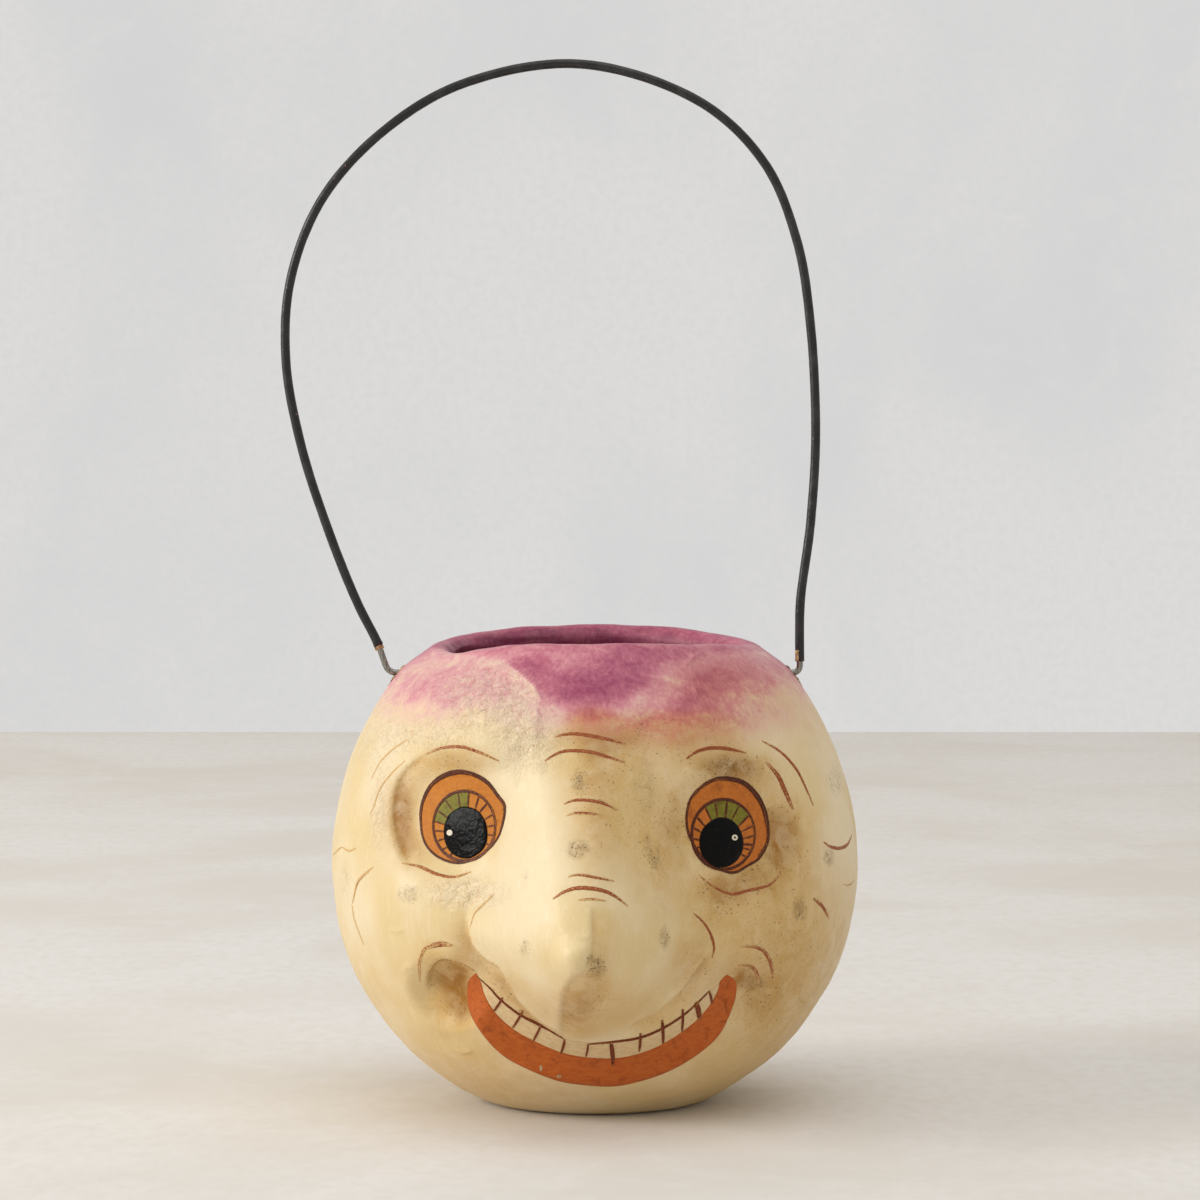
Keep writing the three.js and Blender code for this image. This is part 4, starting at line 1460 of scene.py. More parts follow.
@dataclass
class Painter:
    """Lays thin films of paint on the shell, where the photograph's pixels fall on it."""

    view: Viewpoint
    shell: bpy.types.Object
    film_sink: float = 0.15
    stroke_sink: float = 0.12
    row_pixels: float = 1.3
    columns: int = 5
    wobble: float = 0.06
    dryness: float = 0.12
    from_side: float = 100.0
    tree: BVHTree = field(init=False)

    def __post_init__(self) -> None:
        """Keeps the shell's surface for finding where paint lands."""
        data = self.shell.data
        points = np.empty(len(data.vertices) * 3)
        data.vertices.foreach_get("co", points)
        faces = [tuple(face.vertices) for face in data.polygons]
        self.tree = BVHTree.FromPolygons(points.reshape(-1, 3).tolist(), faces)

    def land(self, pixel: Sequence[float]) -> tuple[Array, Array]:
        """Place, and its normal, where the camera sees a pixel on the shell."""
        place, normal, _, _ = self.tree.ray_cast(Vector(self.view.place), self.view.ray(pixel))
        if place is None:
            raise ValueError(f"no shell behind pixel {tuple(pixel)}")
        return np.array(place) / MM, np.array(normal)

    def nearest(self, near: Array) -> tuple[Array, Array]:
        """Place on the shell that is nearest to another, and its normal."""
        place, normal, _, _ = self.tree.find_nearest(Vector(near * MM))
        return np.array(place) / MM, np.array(normal)

    def beside(self, side: Side, y: float, z: float) -> tuple[Array, Array]:
        """Place, and its normal, that is seen level from one side of the shell."""
        start = Vector((side.value * self.from_side * MM, y * MM, z * MM))
        place, normal, _, _ = self.tree.ray_cast(start, Vector((-side.value, 0, 0)))
        return np.array(place) / MM, np.array(normal)

    def film(self, mesh: Mesh, pixels: Array, lift: Union[float, Array]) -> None:
        """Adds a film that covers a grid of pixels.

        Args:
            mesh: The piece that the film is part of.
            pixels: The grid, as (rows, columns, 2).
            lift: Millimetres from the shell to the film's outer side.
        """
        landed = [self.land(pixel) for pixel in pixels.reshape(-1, 2)]
        places = np.array([place for place, _ in landed]).reshape(*pixels.shape[:2], 3)
        normals = np.array([normal for _, normal in landed]).reshape(places.shape)
        lifts = np.broadcast_to(lift, places.shape[:2])[..., None]
        mesh.add_film(places + normals * lifts, places - normals * self.film_sink)

    def patch(self, name: str, material: Material, pixels: Array,
              lift: Union[float, Array]) -> None:
        """Makes a piece of one film.

        Args:
            name: The piece's name.
            material: Its finish.
            pixels: The grid of pixels that it covers, as (rows, columns, 2).
            lift: Millimetres from the shell to its outer side.
        """
        mesh = Mesh()
        self.film(mesh, pixels, lift)
        mesh.make(name, material)

    def stroke(self, mesh: Mesh, path: Sequence[Pixel], width: float, lift: float, seed: int,
               load: float = 1.0, blunt: float = 0.12) -> None:
        """Adds a brush stroke that tapers towards its ends.

        Args:
            mesh: The piece that the stroke is part of.
            path: Pixels along its middle.
            width: Its greatest width in millimetres.
            lift: Millimetres that it stands off the shell.
            seed: Seed of its uneven edges.
            load: How full of paint the brush is, from 0 to 1.
            blunt: Share of the width that is left at its ends.
        """
        rng = random.Random(seed)
        length = distances(np.asarray(path, dtype=float))[-1]
        count = max(8, int(length / self.row_pixels))
        landed = [self.land(pixel) for pixel in even_curve(path, count)]
        places = np.array([place for place, _ in landed])
        aside = np.cross(np.array([normal for _, normal in landed]), np.gradient(places, axis=0))
        aside /= np.linalg.norm(aside, axis=1, keepdims=True)
        t = np.linspace(0, 1, count)
        swell = blunt + (1 - blunt) * np.clip(np.sin(np.pi * (0.04 + 0.92 * t)), 0, 1) ** 0.6
        wobble = np.array([[rng.gauss(0, self.wobble) for _ in range(2)] for _ in range(count)])
        half = width / 2 * swell
        across = np.linspace(-1, 1, self.columns)
        top, under = [], []
        for i in range(count):
            reach = half[i] * across + np.interp(across, (-1, 1), wobble[i]) * min(1.0, half[i])
            found = [self.nearest(places[i] + aside[i] * offset) for offset in reach]
            top.append([place + normal * lift for place, normal in found])
            under.append([place - normal * self.stroke_sink for place, normal in found])
        drying = load * (0.55 + 0.45 * np.sin(np.pi * (0.1 + 0.8 * t)))
        bristles = np.array([rng.uniform(-self.dryness, self.dryness) for _ in across])
        mesh.add_film(np.array(top), np.array(under), load=np.clip(drying[:, None] + bristles, 0, 1))


def disc_pixels(centre: Pixel, boundary: Sequence[Pixel], size: int = 33) -> Array:
    """Grid of pixels that fills a rounded outline.

    Args:
        centre: A pixel inside it.
        boundary: Pixels along its outline, in order, without repeating the first.
        size: Rows and columns of the grid.

    Returns:
        The grid, as (size, size, 2).
    """
    ring = even_curve([*boundary, boundary[0]], 360) - np.asarray(centre)
    angles = np.unwrap(np.arctan2(ring[:, 1], ring[:, 0]))
    radii = np.hypot(ring[:, 0], ring[:, 1])
    order = np.argsort(angles)
    angles, radii = angles[order], radii[order]
    a, b = np.meshgrid(np.linspace(-1, 1, size), np.linspace(-1, 1, size))
    x, y = a * np.sqrt(1 - b * b / 2), b * np.sqrt(1 - a * a / 2)
    turn = np.arctan2(y, x)
    turn = angles[0] + np.mod(turn - angles[0], 2 * math.pi)
    reach = np.interp(turn, np.append(angles, angles[0] + 2 * math.pi), np.append(radii, radii[0]))
    return np.stack([centre[0] + x * reach, centre[1] + y * reach], -1)


def oval(centre: Pixel, reach: Pixel, count: int = 24) -> list[Pixel]:
    """Pixels round an oval, clockwise from its right."""
    turns = np.arange(count) * (2 * math.pi / count)
    return [(centre[0] + reach[0] * math.cos(t), centre[1] + reach[1] * math.sin(t)) for t in turns]


@dataclass(frozen=True)
class Eye:
    """One painted eye, in pixels of the photograph's frame and degrees from the right, upwards."""

    side: Side
    outline: Stops
    heavy: tuple[Stops, ...]
    iris_centre: Pixel
    iris_reach: Pixel
    pupil_centre: Pixel
    pupil_reach: Pixel
    rays: tuple[float, ...]
    green: Pair
    dot: Pixel
    dot_reach: float = 2.9
    dot_core: float = 0.0

    @property
    def label(self) -> str:
        """Name of the eye's side."""
        return self.side.name.lower()

    def ray(self, inner_angle: float, outer_angle: float) -> tuple[Array, Array]:
        """Pixels at which a line of the iris meets the pupil and the iris's ring."""
        inner = self.to_edge(inner_angle, self.pupil_centre, self.pupil_reach)
        return inner, self.to_edge(outer_angle, self.iris_centre, self.iris_reach)

    def to_edge(self, angle: float, centre: Pixel, reach: Pixel) -> Array:
        """Pixel where a ray from the pupil's centre meets an oval."""
        away = np.array([math.cos(math.radians(angle)), -math.sin(math.radians(angle))])
        start = np.asarray(self.pupil_centre, dtype=float)
        rel = (start - np.asarray(centre)) / np.asarray(reach)
        step = away / np.asarray(reach)
        a, b, c = step @ step, 2 * rel @ step, rel @ rel - 1
        far = (-b + math.sqrt(max(b * b - 4 * a * c, 0.0))) / (2 * a)
        return start + away * far


@dataclass
class Eyes:
    """Both painted eyes: orange ground, green part of the iris, lines, glossy pupil and its dot."""

    painter: Painter
    left: Eye = Eye(
        side=Side.LEFT,
        outline=(
            (421, 812), (424, 799), (431, 786), (443, 776), (459.5, 771), (475, 774), (488, 782),
            (498, 795), (504.5, 804), (505, 811), (502, 827), (498, 838), (485, 852), (472, 860),
            (457, 863), (442, 859), (431, 851), (424, 840), (421, 824),
        ),
        heavy=(
            ((421.5, 830), (421, 812), (424, 799), (431, 786), (443, 776), (459.5, 771.5), (475, 775),
             (488, 783), (498, 796), (504.5, 806), (504, 811)),
            ((431, 786), (443, 777), (459.5, 772.5), (473, 775)),
        ),
        iris_centre=(464.6, 826), iris_reach=(31, 35),
        pupil_centre=(466, 832.7), pupil_reach=(22, 26),
        rays=(-28, -6, 14, 34, 54, 70, 86, 101, 122, 142, 160, 176, 196, 216, 236),
        green=(84, 160), dot=(451, 832.7),
    )
    right: Eye = Eye(
        side=Side.RIGHT,
        outline=(
            (727, 778), (744, 782), (756, 793), (764.5, 808), (768, 826), (767.5, 842), (759, 858),
            (747, 866), (734, 872.5), (721, 870), (706, 861), (695, 847), (688, 832), (686.5, 815),
            (691, 798), (702, 786), (714, 779.5),
        ),
        heavy=(
            ((692, 797), (703, 785.5), (715, 779.5), (728, 778.5), (744, 783), (756, 794), (764, 809),
             (767.5, 826), (767, 842), (758, 857)),
            ((714, 780), (728, 779.5), (743, 783.5), (755, 795), (763, 810), (766, 826)),
        ),
        iris_centre=(723, 834.4), iris_reach=(31.5, 35),
        pupil_centre=(721, 842.7), pupil_reach=(22, 25),
        rays=(-30, -14, -4, 12, 28, 45, 64, 82, 99, 114, 133, 152, 172, 192, 212),
        green=(45, 114), dot=(733.4, 837.6), dot_core=1.1,
    )
    ground_lift: float = 0.1
    iris_lift: float = 0.15
    line_lift: float = 0.2
    outline_width: float = 0.75
    heavy_width: float = 1.35
    ring_width: float = 0.95
    ray_widths: Pair = (0.45, 0.75)
    shortest_ray: float = 3.0
    pupil_lift: float = 0.28
    pupil_dome: float = 0.42
    pupil_wobble: float = 0.5
    dot_lift: float = 0.14
    core_lift: float = 0.2

    def build(self) -> None:
        """Builds the pieces of both eyes."""
        # The two eyes have one paint; these copies differ as painted light and shade, the right one darker
        # and more smudged.
        orange = {
            Side.LEFT: BrushedPaint("eye_orange_lit", "#C97E2C", "#BF7226", "#A65A20", 0.5, 0.35),
            Side.RIGHT: BrushedPaint("eye_orange_shaded", "#C8742C", "#BA6726", "#8A471B", 0.45, 0.45),
        }
        green = BrushedPaint("eye_green", "#827C2A", "#736A20", "#54491A", 0.45, 0.5).make()
        line = BrushInk("eye_line_paint", "#42200F", "#642F1A", "#94592B", 0.45).make()
        black = GlossBlack().make()
        white = BrushedPaint("dot_white", "#EDE3D0", "#E2D6C0", "#CDBB9C", 0.3, 0.3).make()
        for eye in (self.left, self.right):
            self.ground(eye, orange[eye.side].make())
            self.iris(eye, green)
            self.lines(eye, line)
            self.pupil(eye, black, white)

    def ground(self, eye: Eye, material: Material) -> None:
        """Orange ground inside the eye's outline."""
        centre = tuple(np.mean(np.asarray(eye.outline), axis=0))
        pixels = disc_pixels(centre, eye.outline, 45)
        self.painter.patch(f"eye_ground_{eye.label}", material, pixels, self.ground_lift)

    def iris(self, eye: Eye, material: Material) -> None:
        """Green part of the iris, between its ring and the pupil."""
        grid = []
        for angle in np.linspace(*eye.green, 28):
            inner, outer = eye.ray(angle, angle)
            grid.append([inner + (outer - inner) * t for t in np.linspace(-0.1, 0.97, 8)])
        self.painter.patch(f"iris_green_{eye.label}", material, np.array(grid), self.iris_lift)

    def lines(self, eye: Eye, material: Material) -> None:
        """Outline, ring of the iris and rays."""
        mesh = Mesh()
        stroke = self.painter.stroke
        lift = self.line_lift
        seed = 40 + eye.side.value
        stroke(mesh, [*eye.outline, *eye.outline[:2]], self.outline_width, lift, seed, 0.95, 0.9)
        for number, path in enumerate(eye.heavy):
            width, raised = self.heavy_width - 0.2 * number, lift + 0.03 * (number + 1)
            stroke(mesh, path, width, raised, seed + 3 + number, 1.0, 0.3)
        ring = oval(eye.iris_centre, eye.iris_reach)
        stroke(mesh, [*ring, *ring[:2]], self.ring_width, lift + 0.02, seed + 7, 0.9, 0.8)
        rng = random.Random(seed + 9)
        for number, angle in enumerate(eye.rays):
            inner, outer = eye.ray(angle + rng.uniform(-2, 2), angle)
            run = outer - inner
            if np.linalg.norm(run) < self.shortest_ray:
                continue
            path = [tuple(inner + run * t) for t in (0.0, 0.5, 1.0)]
            stroke(mesh, path, rng.uniform(*self.ray_widths), lift + 0.01, seed + 20 + number, 0.85, 0.6)
        mesh.make(f"eye_lines_{eye.label}", material)

    def pupil(self, eye: Eye, black: Material, white: Material) -> None:
        """Glossy pupil, slightly domed, with its dot."""
        rng = random.Random(60 + eye.side.value)
        wobble = self.pupil_wobble
        ring = [
            (x + rng.uniform(-wobble, wobble), y + rng.uniform(-wobble, wobble))
            for x, y in oval(eye.pupil_centre, eye.pupil_reach, 18)
        ]
        grid = disc_pixels(eye.pupil_centre, ring, 33)
        self.painter.patch(f"pupil_{eye.label}", black, grid, self.dome(eye, grid))
        base = float(self.dome(eye, np.asarray(eye.dot)))
        spot = disc_pixels(eye.dot, oval(eye.dot, (eye.dot_reach, eye.dot_reach), 10), 9)
        self.painter.patch(f"dot_{eye.label}", white, spot, base + self.dot_lift)
        if eye.dot_core > 0:
            brown = BrushedPaint("dot_brown", "#6B4A2A", "#5C3D22", "#3E2A18").make()
            core = disc_pixels(eye.dot, oval(eye.dot, (eye.dot_core, eye.dot_core), 8), 5)
            self.painter.patch(f"dot_core_{eye.label}", brown, core, base + self.core_lift)

    def dome(self, eye: Eye, pixels: Array) -> Array:
        """Height of the pupil's dome at given pixels."""
        rel = (pixels - np.asarray(eye.pupil_centre)) / np.asarray(eye.pupil_reach)
        away = np.linalg.norm(rel, axis=-1)
        return self.pupil_lift + self.pupil_dome * np.sqrt(np.clip(1 - away ** 2, 0, 1))


@dataclass
class Smile:
    """Painted mouth: orange lip, teeth, the line over them and the lines between them."""

    painter: Painter
    lip_outer: Stops = (
        (475, 973.5), (469, 980), (467.5, 992), (470, 1012), (484, 1036), (504, 1056), (530, 1070),
        (559.5, 1081), (586, 1085), (615, 1086), (644, 1080), (671, 1070), (698, 1054), (718, 1036),
        (729, 1016), (736, 994), (735.5, 981), (728, 975),
    )
    lip_inner: Stops = (
        (476.5, 973.5), (481, 982), (485, 995), (495, 1012), (513, 1028.5), (537, 1042), (564, 1053),
        (591, 1057.5), (620, 1057.5), (649, 1050), (675.5, 1036), (698, 1018.5), (711, 1003), (718, 989),
        (720, 981), (726, 975),
    )
    teeth_top: Stops = (
        (478, 977), (490, 988), (499, 998), (519, 1014), (542, 1026), (564, 1038), (591, 1042.5),
        (615, 1041), (640, 1037.5), (662, 1028.5), (682, 1016), (696, 1005), (709, 992), (720, 980),
    )
    gum_lines: tuple[Stops, ...] = (
        ((478, 977), (490, 988), (499, 998), (519, 1014), (542, 1026), (564.5, 1039)),
        ((588, 1044), (615, 1041.5), (640, 1037.5), (662, 1028.5), (682, 1016), (696, 1004), (709, 991)),
    )
    dividers: tuple[tuple[Pixel, Pixel, float], ...] = (
        ((502.8, 997.5), (494, 1011), 0.75), ((523, 1010.5), (513, 1027.5), 0.75),
        ((541.5, 1024), (533, 1041), 0.7), ((565, 1039), (561, 1053), 0.8),
        ((588, 1044), (586, 1056), 0.65), ((611, 1042), (613, 1065), 1.3),
        ((640.5, 1033), (639, 1051), 0.8), ((662, 1020), (663, 1043), 0.95),
        ((682.5, 1009), (682, 1031), 0.85), ((696, 1002), (699.5, 1019), 1.7),
        ((709, 991.5), (711.5, 1003), 1.0),
    )
    chips: tuple[tuple[Pixel, Pixel], ...] = (((541, 1068), (1.6, 3.2)), ((559, 1076), (2.4, 1.6)))
    columns: int = 150
    teeth_under_lip: float = 0.12
    teeth_lift: float = 0.07
    lip_lift: float = 0.13
    gum_lift: float = 0.2
    divider_lift: float = 0.23
    chip_lift: float = 0.17
    gum_width: float = 0.95
    divider_bow: float = 0.4

    def build(self) -> None:
        """Builds the mouth's pieces."""
        lip = BrushedPaint("lip_orange", "#C4672B", "#B85A24", "#7E3A1A", 0.5, 0.5, 0.05).make()
        tooth = BrushedPaint("tooth_beige", "#E2C89C", "#D8B98A", "#C6A06E", 0.5, 0.4).make()
        line = BrushInk("mouth_line_paint", "#63260D", "#874119", "#B98550", 0.45).make()
        outer, inner, high = (
            even_curve(path, self.columns) for path in (self.lip_outer, self.lip_inner, self.teeth_top)
        )
        covered = inner + (inner - high) * self.teeth_under_lip
        self.painter.patch("teeth", tooth, self.strip(high, covered, 7), self.teeth_lift)
        self.painter.patch("lip", lip, self.strip(inner, outer, 12), self.lip_lift)
        lines = Mesh()
        for number, path in enumerate(self.gum_lines):
            self.painter.stroke(lines, path, self.gum_width, self.gum_lift, 90 + number, 1.0, 0.35)
        for number, (top, bottom, width) in enumerate(self.dividers):
            middle = ((top[0] + bottom[0]) / 2 + self.divider_bow, (top[1] + bottom[1]) / 2)
            path = (top, middle, bottom)
            self.painter.stroke(lines, path, width, self.divider_lift, 100 + number, 1.0, 0.55)
        lines.make("mouth_lines", line)
        chipped = Mesh()
        for centre, reach in self.chips:
            self.painter.film(chipped, disc_pixels(centre, oval(centre, reach, 9), 5), self.chip_lift)
        chipped.make("lip_chips", TornPaper("lip_chip_paper", "#D9B98C", "#9A7A52").make())

    @staticmethod
    def strip(upper: Array, lower: Array, rows: int) -> Array:
        """Grid of pixels between two lines of as many points."""
        t = np.linspace(0, 1, rows)[:, None, None]
        return upper[None] * (1 - t) + lower[None] * t


@dataclass
class BrushMarks:
    """Brown brush strokes round the eyes, nose and mouth, each with its width and its load."""

    painter: Painter
    strokes: tuple[tuple[Stops, float, float], ...] = (
        (((426, 754), (442, 748), (462, 747), (481, 753), (499, 761)), 1.0, 0.8),
        (((407, 740), (392, 750), (379, 764), (371.5, 778.5)), 0.6, 0.45),
        (((405, 761), (392, 773), (380, 789), (374, 806), (370, 815)), 0.7, 0.5),
        (((402, 863), (419, 866.5), (436.5, 874), (454, 877), (471, 872)), 1.1, 0.8),
        (((342, 847), (349, 851), (356, 848)), 0.7, 0.4),
        (((333, 855), (338, 850), (342, 847)), 0.7, 0.4),
        (((373, 867), (365, 874), (358, 882), (352.5, 903)), 1.0, 0.6),
        (((352, 905), (354, 918), (358, 930), (364, 945)), 0.9, 0.35),
        (((494, 894), (484, 904), (475, 913), (470, 927)), 0.7, 0.55),
        (((693, 913), (702, 921), (709, 931), (714, 947), (712, 958)), 0.9, 0.95),
        (((554.5, 737), (565, 734.5), (577, 734), (602, 738), (625, 744)), 1.25, 1.0),
        (((545, 761), (556, 754), (567, 751), (590, 752), (608, 757), (625, 763)), 1.2, 1.0),
        (((564, 804), (572, 801), (583, 800), (602, 803), (617, 810)), 1.1, 0.95),
        (((566, 816), (574, 813.5), (583, 813), (602, 815)), 0.9, 0.8),
        (((568, 877), (575, 875), (582, 875), (593, 877), (614, 881)), 0.9, 0.8),
        (((553, 899), (564, 892), (575, 888.5), (586, 888), (604, 891), (616, 897), (627.5, 906)),
         1.3, 0.95),
        (((578, 900), (592, 899), (606, 901)), 0.8, 0.7),
        (((686, 759), (697, 751.5), (711, 748), (729, 749), (746, 753)), 1.15, 1.0),
        (((762, 741), (780, 751.5), (796, 769), (806, 788.5), (813.5, 806)), 1.1, 0.95),
        (((766, 762), (778, 776), (785, 791), (793, 809.5)), 1.6, 1.0),
        (((699, 875), (714, 887), (732, 894), (748, 890.5), (769, 885), (777, 878), (781, 871)), 0.9, 0.95),
        (((823.5, 842), (829, 846), (835, 848), (841, 848), (847, 845), (852, 835)), 1.1, 0.9),
        (((843, 884), (847, 885.5), (851, 884), (854, 880)), 0.6, 0.6),
        (((813, 898), (822, 906), (829, 918)), 1.2, 0.9),
        (((453, 945), (443, 943.5), (435, 945), (425, 949), (420, 960), (419.5, 981)), 1.1, 0.65),
        (((452, 945.5), (444, 944), (433, 945.5), (427, 948.5)), 1.7, 0.8),
        (((431, 973.5), (432, 968), (435, 964), (441, 961), (448, 960.5), (462, 964), (475, 971)),
         0.8, 0.7),
        (((741, 946.5), (755, 947), (762, 950), (767, 955), (771, 965), (774, 982)), 1.2, 0.8),
        (((738, 965), (750, 966), (755, 970), (757.5, 976), (759, 984)), 1.2, 0.75),
    )
    lift: float = 0.08
    first_seed: int = 200

    def build(self) -> None:
        """Builds the strokes as one piece."""
        mesh = Mesh()
        for number, (path, width, load) in enumerate(self.strokes):
            self.painter.stroke(mesh, path, width, self.lift, self.first_seed + number, load)
        mesh.make("brush_strokes", BrushInk().make())


def tube_frames(points: Array) -> tuple[Array, Array, Array]:
    """Directions along and across a line of points, without twist.

    Args:
        points: The line, as (n, 3).

    Returns:
        The directions ahead, aside and above at each point.
    """
    ahead = np.gradient(points, axis=0)
    ahead /= np.linalg.norm(ahead, axis=1, keepdims=True)
    aside = np.empty_like(ahead)
    first = np.cross(ahead[0], (0.0, 1.0, 0.0))
    aside[0] = first / np.linalg.norm(first)
    for i in range(1, len(points)):
        carried = aside[i - 1] - ahead[i] * float(aside[i - 1] @ ahead[i])
        aside[i] = carried / np.linalg.norm(carried)
    return ahead, aside, np.cross(ahead, aside)


def tube_ring(line: Array, sides: int) -> tuple[Array, Array]:
    """Directions ahead and outwards of a tube round a line.

    Args:
        line: Points along its middle, as (n, 3).
        sides: Points round it.

    Returns:
        The directions ahead, as (n, 3), and outwards, as (n, sides, 3).
    """
    ahead, aside, above = tube_frames(line)
    turns = np.arange(sides) * (2 * math.pi / sides)
    ring = np.cos(turns)[None, :, None] * aside[:, None] + np.sin(turns)[None, :, None] * above[:, None]
    return ahead, ring


@dataclass
class Bail:
    """Wire bail in its paper wrap, with torn ends. Its route repeats the wire's bends and stops."""

    pivot_height: float
    wire_radius: float = 1.0
    wire_sides: int = 16
    wrap_radius: float = 1.5
    wrap_bore: float = 1.06
    wrap_sides: int = 22
    torn_radius: float = 1.38
    torn_bore: float = 1.02
    torn_sides: int = 14
    torn_before: float = 1.9
    torn_after: float = 2.0
    outer_radius: float = 62.737
    inner_radius: float = 57.615
    leg_clearance: float = 0.55
    left_leg_extra: float = 0.5
    hook_clearance: float = 3.0
    hook_length: float = 8.0
    bend_run: float = 2.6
    bend_rows: int = 9
    handle_rows: int = 420
    bare_left: float = 6.5
    bare_right: float = 0.6
    chip_length: float = 5.2
    chip_rows: int = 9
    chip_thickness: float = 0.2
    left_leg: Stops = (
        (3.6, 9.8), (9.9, 22.4), (19.8, 47.7), (27.6, 72.9), (32, 98.1), (30.6, 123.4), (20.9, 148.6),
    )
    arch: Stops = ((-67.8, 169.4), (-42.6, 184.9), (-4.7, 191.5), (33.1, 179.6))
    right_leg: Stops = (
        (-0.1, 9.8), (0.1, 22.4), (3.3, 47.7), (4.8, 76), (3, 110.7), (-1.2, 136), (-11.4, 160.4),
    )

    def at(self, x: float, up: float) -> Array:
        """Point of the bail, across from the middle and up from the pivots."""
        return np.array([x, 0.0, self.pivot_height + up])

    def bend(self, before: Array, corner: Array, after: Array) -> Array:
        """Rounded bend of the wire between two straight runs."""
        start = corner + (before - corner) / np.linalg.norm(before - corner) * self.bend_run
        end = corner + (after - corner) / np.linalg.norm(after - corner) * self.bend_run
        t = np.linspace(0, 1, self.bend_rows)[:, None]
        return start * (1 - t) ** 2 + 2 * corner * t * (1 - t) + end * t * t

    def route(self) -> tuple[Array, Array, Array]:
        """The wire's line: its left end, the handle between the elbows, and its right end."""
        leg_x = self.outer_radius + self.leg_clearance + self.wrap_radius
        left_x = leg_x + self.left_leg_extra
        hook_x = self.inner_radius - self.hook_clearance - self.wire_radius
        left = [self.at(-left_x - out, up) for out, up in self.left_leg]
        right = [self.at(leg_x + out, up) for out, up in self.right_leg]
        arch = [self.at(x, up) for x, up in self.arch]
        left_bend = self.bend(self.at(-hook_x, 0), self.at(-left_x, 0), left[0])
        right_bend = self.bend(right[0], self.at(leg_x, 0), self.at(hook_x, 0))
        stops = [left_bend[-1], *left, *arch, *right[::-1], right_bend[0]]
        handle = even_curve(stops, self.handle_rows)
        start = np.vstack([
            self.at(-hook_x, -self.hook_length),
            self.bend(self.at(-hook_x, -self.hook_length), self.at(-hook_x, 0), self.at(-left_x, 0)),
            left_bend[:-1],
        ])
        end = np.vstack([
            right_bend[1:],
            self.bend(self.at(leg_x, 0), self.at(hook_x, 0), self.at(hook_x, -self.hook_length)),
            self.at(hook_x, -self.hook_length),
        ])
        return start, handle, end

    @staticmethod
    def sleeve(mesh: Mesh, line: Array, radius: float, bore: float, ragged: Pair,
               seed: int, sides: int) -> None:
        """Adds a paper sleeve round a line, with torn ends.

        Args:
            mesh: The piece that it is part of.
            line: Points along its middle.
            radius: Its outer radius.
            bore: Its inner radius.
            ragged: How far the paper is torn at its first and last end.
            seed: Seed of its torn edges and dents.
            sides: Points round it.
        """
        rng = random.Random(seed)
        ahead, ring = tube_ring(line, sides)
        spots = line[:, None] + ring * radius
        dents = 0.05 * mottle(spots, 7, seed) + 0.03 * mottle(spots, 2.2, seed + 1) - 0.05
        outer = line[:, None] + ring * (radius + dents)[..., None]
        inner = line[:, None] + ring * bore
        for row, reach, sign in ((0, ragged[0], -1), (-1, ragged[1], 1)):
            tear = np.array([rng.uniform(-0.25, 1.0) for _ in range(sides)]) * reach * sign
            flare = np.array([rng.uniform(-0.05, 0.35) for _ in range(sides)]) * reach
            for part in (outer, inner):
                part[row] += ahead[row] * tear[:, None] + ring[row] * flare[:, None] * (part is outer)
        mesh.add_ring(np.vstack([outer, inner[::-1]]), loop=True, edges=(len(line) - 1, 2 * len(line) - 1))

    def chip(self, mesh: Mesh, line: Array, middle: float, spread: float, seed: int) -> None:
        """Adds a torn patch of paper on the front of a sleeve.

        Args:
            mesh: The piece that it is part of.
            line: Points along the sleeve's middle, in the bail's own plane.
            middle: Angle of the patch's middle round the sleeve, in degrees from the front.
            spread: Half of its angle.
            seed: Seed of its torn edges.
        """
        rng = random.Random(seed)
        ahead = tube_frames(line)[0]
        near = np.array([0.0, -1.0, 0.0])
        top, under = [], []
        for place, run in zip(line, ahead):
            left, right = rng.uniform(0.7, 1.1) * spread, rng.uniform(0.7, 1.1) * spread
            turns = np.radians(np.linspace(middle - left, middle + right, 7))[:, None]
            way = near * np.cos(turns) + np.cross(run, near) * np.sin(turns)
            lift = rng.uniform(0.03, 0.14)
            top.append(place + way * (self.wrap_radius + lift))
            under.append(place + way * (self.wrap_radius + lift - self.chip_thickness))
        mesh.add_film(np.array(top), np.array(under))

    def build(self) -> None:
        """Builds the wire, its wrap and the torn paper at the wrap's ends."""
        start, handle, end = self.route()
        line = np.vstack([start, handle, end])
        wire = Mesh()
        ring = tube_ring(line, self.wire_sides)[1]
        wire.add_ring(line[:, None] + ring * self.wire_radius, line[0], line[-1])
        piece = wire.make("bail_steel", DrawnSteel().make(), Body.BAIL, Slot.WIRE)
        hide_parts("bail_wire")
        length = distances(handle)[-1]
        share = np.linspace(0, 1, len(handle)) * length
        wrapped = handle[(share > self.bare_left) & (share < length - self.bare_right)]
        wrap = Mesh()
        self.sleeve(wrap, wrapped, self.wrap_radius, self.wrap_bore, (0.8, 0.15), 11, self.wrap_sides)
        piece = wrap.make("bail_sleeve", BlackWrap().make(), Body.BAIL, Slot.BLACK)
        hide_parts("bail_wrap")
        torn = Mesh()
        past = share - self.bare_left
        left_end = handle[(past > -self.torn_before) & (past < self.torn_after)]
        self.sleeve(torn, left_end, self.torn_radius, self.torn_bore, (0.7, 0.0), 21, self.torn_sides)
        low = handle[(share > length - self.chip_length) & (share < length - self.bare_right)]
        self.chip(torn, even_curve(low, self.chip_rows), 40, 28, 5)
        torn.make("torn_sleeve_ends", TornPaper().make(), Body.BAIL, Slot.BLACK)


